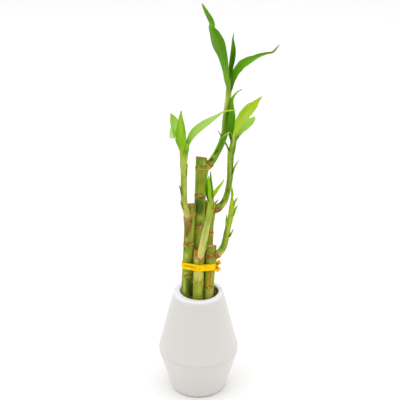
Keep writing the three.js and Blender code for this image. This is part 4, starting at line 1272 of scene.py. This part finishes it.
def add_tail(skin, hollow, crease_shade_strength, points, seed):
    tail = Strand(points)
    rows, columns = TAIL_GRID
    rings = []
    for i in range(rows + 1):
        share = i / rows
        tangent = tail.path.tangent(share)
        normal = (TAIL_FACE - tangent * TAIL_FACE.dot(tangent)).normalized()
        side = tangent.cross(normal)
        front, back = [], []
        for k in range(columns + 1):
            t = 2 * k / columns - 1
            arc = t * tail.size(share)
            fold = 0.25 * ripple(t * 2.2, share * 2.5, 0, seed + 11)
            point = tail.path.at(share) + side * arc + normal * (hollow * arc * arc + fold)
            # Painted shade along the tail's crease and where it leaves the knot.
            crease = bump_at(t, -0.2, 0.5) * (1 - 0.6 * share) * crease_shade_strength
            crease = clamp(crease + clamp(1.1 * (1 - share * 1.5)))
            front.append(skin.add(point + normal * (FILM / 2), crease=crease))
            back.append(skin.add(point - normal * (FILM / 2), crease=crease))
        rings.append(front + back[::-1])
    skin.tube(rings)


def add_knot(skin):
    """A tight overhand knot, as a thick pleated bead."""
    rows, sides = KNOT_GRID
    rings = []
    for i in range(1, rows):
        polar = pi * i / rows
        ring = []
        for x, y in around(sides):
            way = Vector((sin(polar) * x, sin(polar) * y, cos(polar)))
            pleat = 0.14 * sin(way.z * 9 + way.y * 4)
            pleat += 0.12 * ripple(way.x * 3, way.y * 3, way.z * 3, 9)
            point = KNOT + way * KNOT_SIZE * (1 + pleat)
            # Painted shade in the hollows between the knot's pleats.
            ring.append(skin.add(point, crease=clamp(0.55 - pleat * 7)))
        rings.append(ring[::-1])
    skin.tube(rings)


def make_tie():
    skin = Skin()
    for wrap in WRAPS:
        add_wrap(skin, *wrap)
    for i, tail in enumerate(TAILS):
        add_tail(skin, *tail, seed=i + 1)
    add_knot(skin)
    build_mesh("ribbon_tie", skin, ribbon_material(), "tie", "ribbon")


# The object

make_pot()
make_soil()
cane_skin = cane_material()
shoot_skin = shoot_material()
for cane_name in CANES:
    make_cane(cane_name, cane_skin)
    make_shoot(cane_name, shoot_skin)
make_tie()


# Floor, lights and camera

FLOOR_REACH = 12000
SCENE = bpy.context.scene


def make_floor():
    skin = Skin()
    corners = ((-1, -1), (1, -1), (1, 1), (-1, 1))
    skin.faces.append([skin.add((x * FLOOR_REACH, y * FLOOR_REACH, 0)) for x, y in corners])
    pale = Shader("floor").surface(Base_Color=(0.95, 0.95, 0.95), Roughness=0.8)
    floor = build_mesh("floor", skin, pale)


def make_light(name, place, target, size, power):
    lamp = bpy.data.lights.new(name, "AREA")
    lamp.shape = "RECTANGLE"
    lamp.size, lamp.size_y = size
    lamp.energy = power
    holder = bpy.data.objects.new(name, lamp)
    holder.location = place
    holder.rotation_euler = (Vector(target) - Vector(place)).to_track_quat("-Z", "Y").to_euler()
    SCENE.collection.objects.link(holder)


def make_world(strength):
    SCENE.world = bpy.data.worlds.new("studio")
    SCENE.world.use_nodes = True
    sky = SCENE.world.node_tree.nodes["Background"].inputs
    sky["Color"].default_value = (1, 1, 1, 1)
    sky["Strength"].default_value = strength


def make_camera(place, down, lens):
    """A camera that looks along +Y and down, with `down` in degrees and its lens in millimetres."""
    view = bpy.data.cameras.new("camera")
    view.sensor_width = 36
    view.lens = lens
    SCENE.camera = bpy.data.objects.new("camera", view)
    SCENE.camera.location = place
    SCENE.camera.rotation_euler = (radians(90 - down), 0, 0)
    SCENE.collection.objects.link(SCENE.camera)
    SCENE.view_settings.view_transform = "Standard"


# Lights and camera are placed in metres.
make_floor()
make_light("key", (-1.3, -0.7, 1.2), (0, 0, 0.2), (1.0, 1.4), 5.2)
make_light("fill", (1.4, -0.6, 1.0), (0, 0, 0.2), (1.0, 1.4), 4.4)
make_light("ceiling", (0, 2, 5), (0, 2, 0), (16, 16), 730)
make_world(0.39)
make_camera((0.0017, -0.650, 0.466), 21.1, 63)
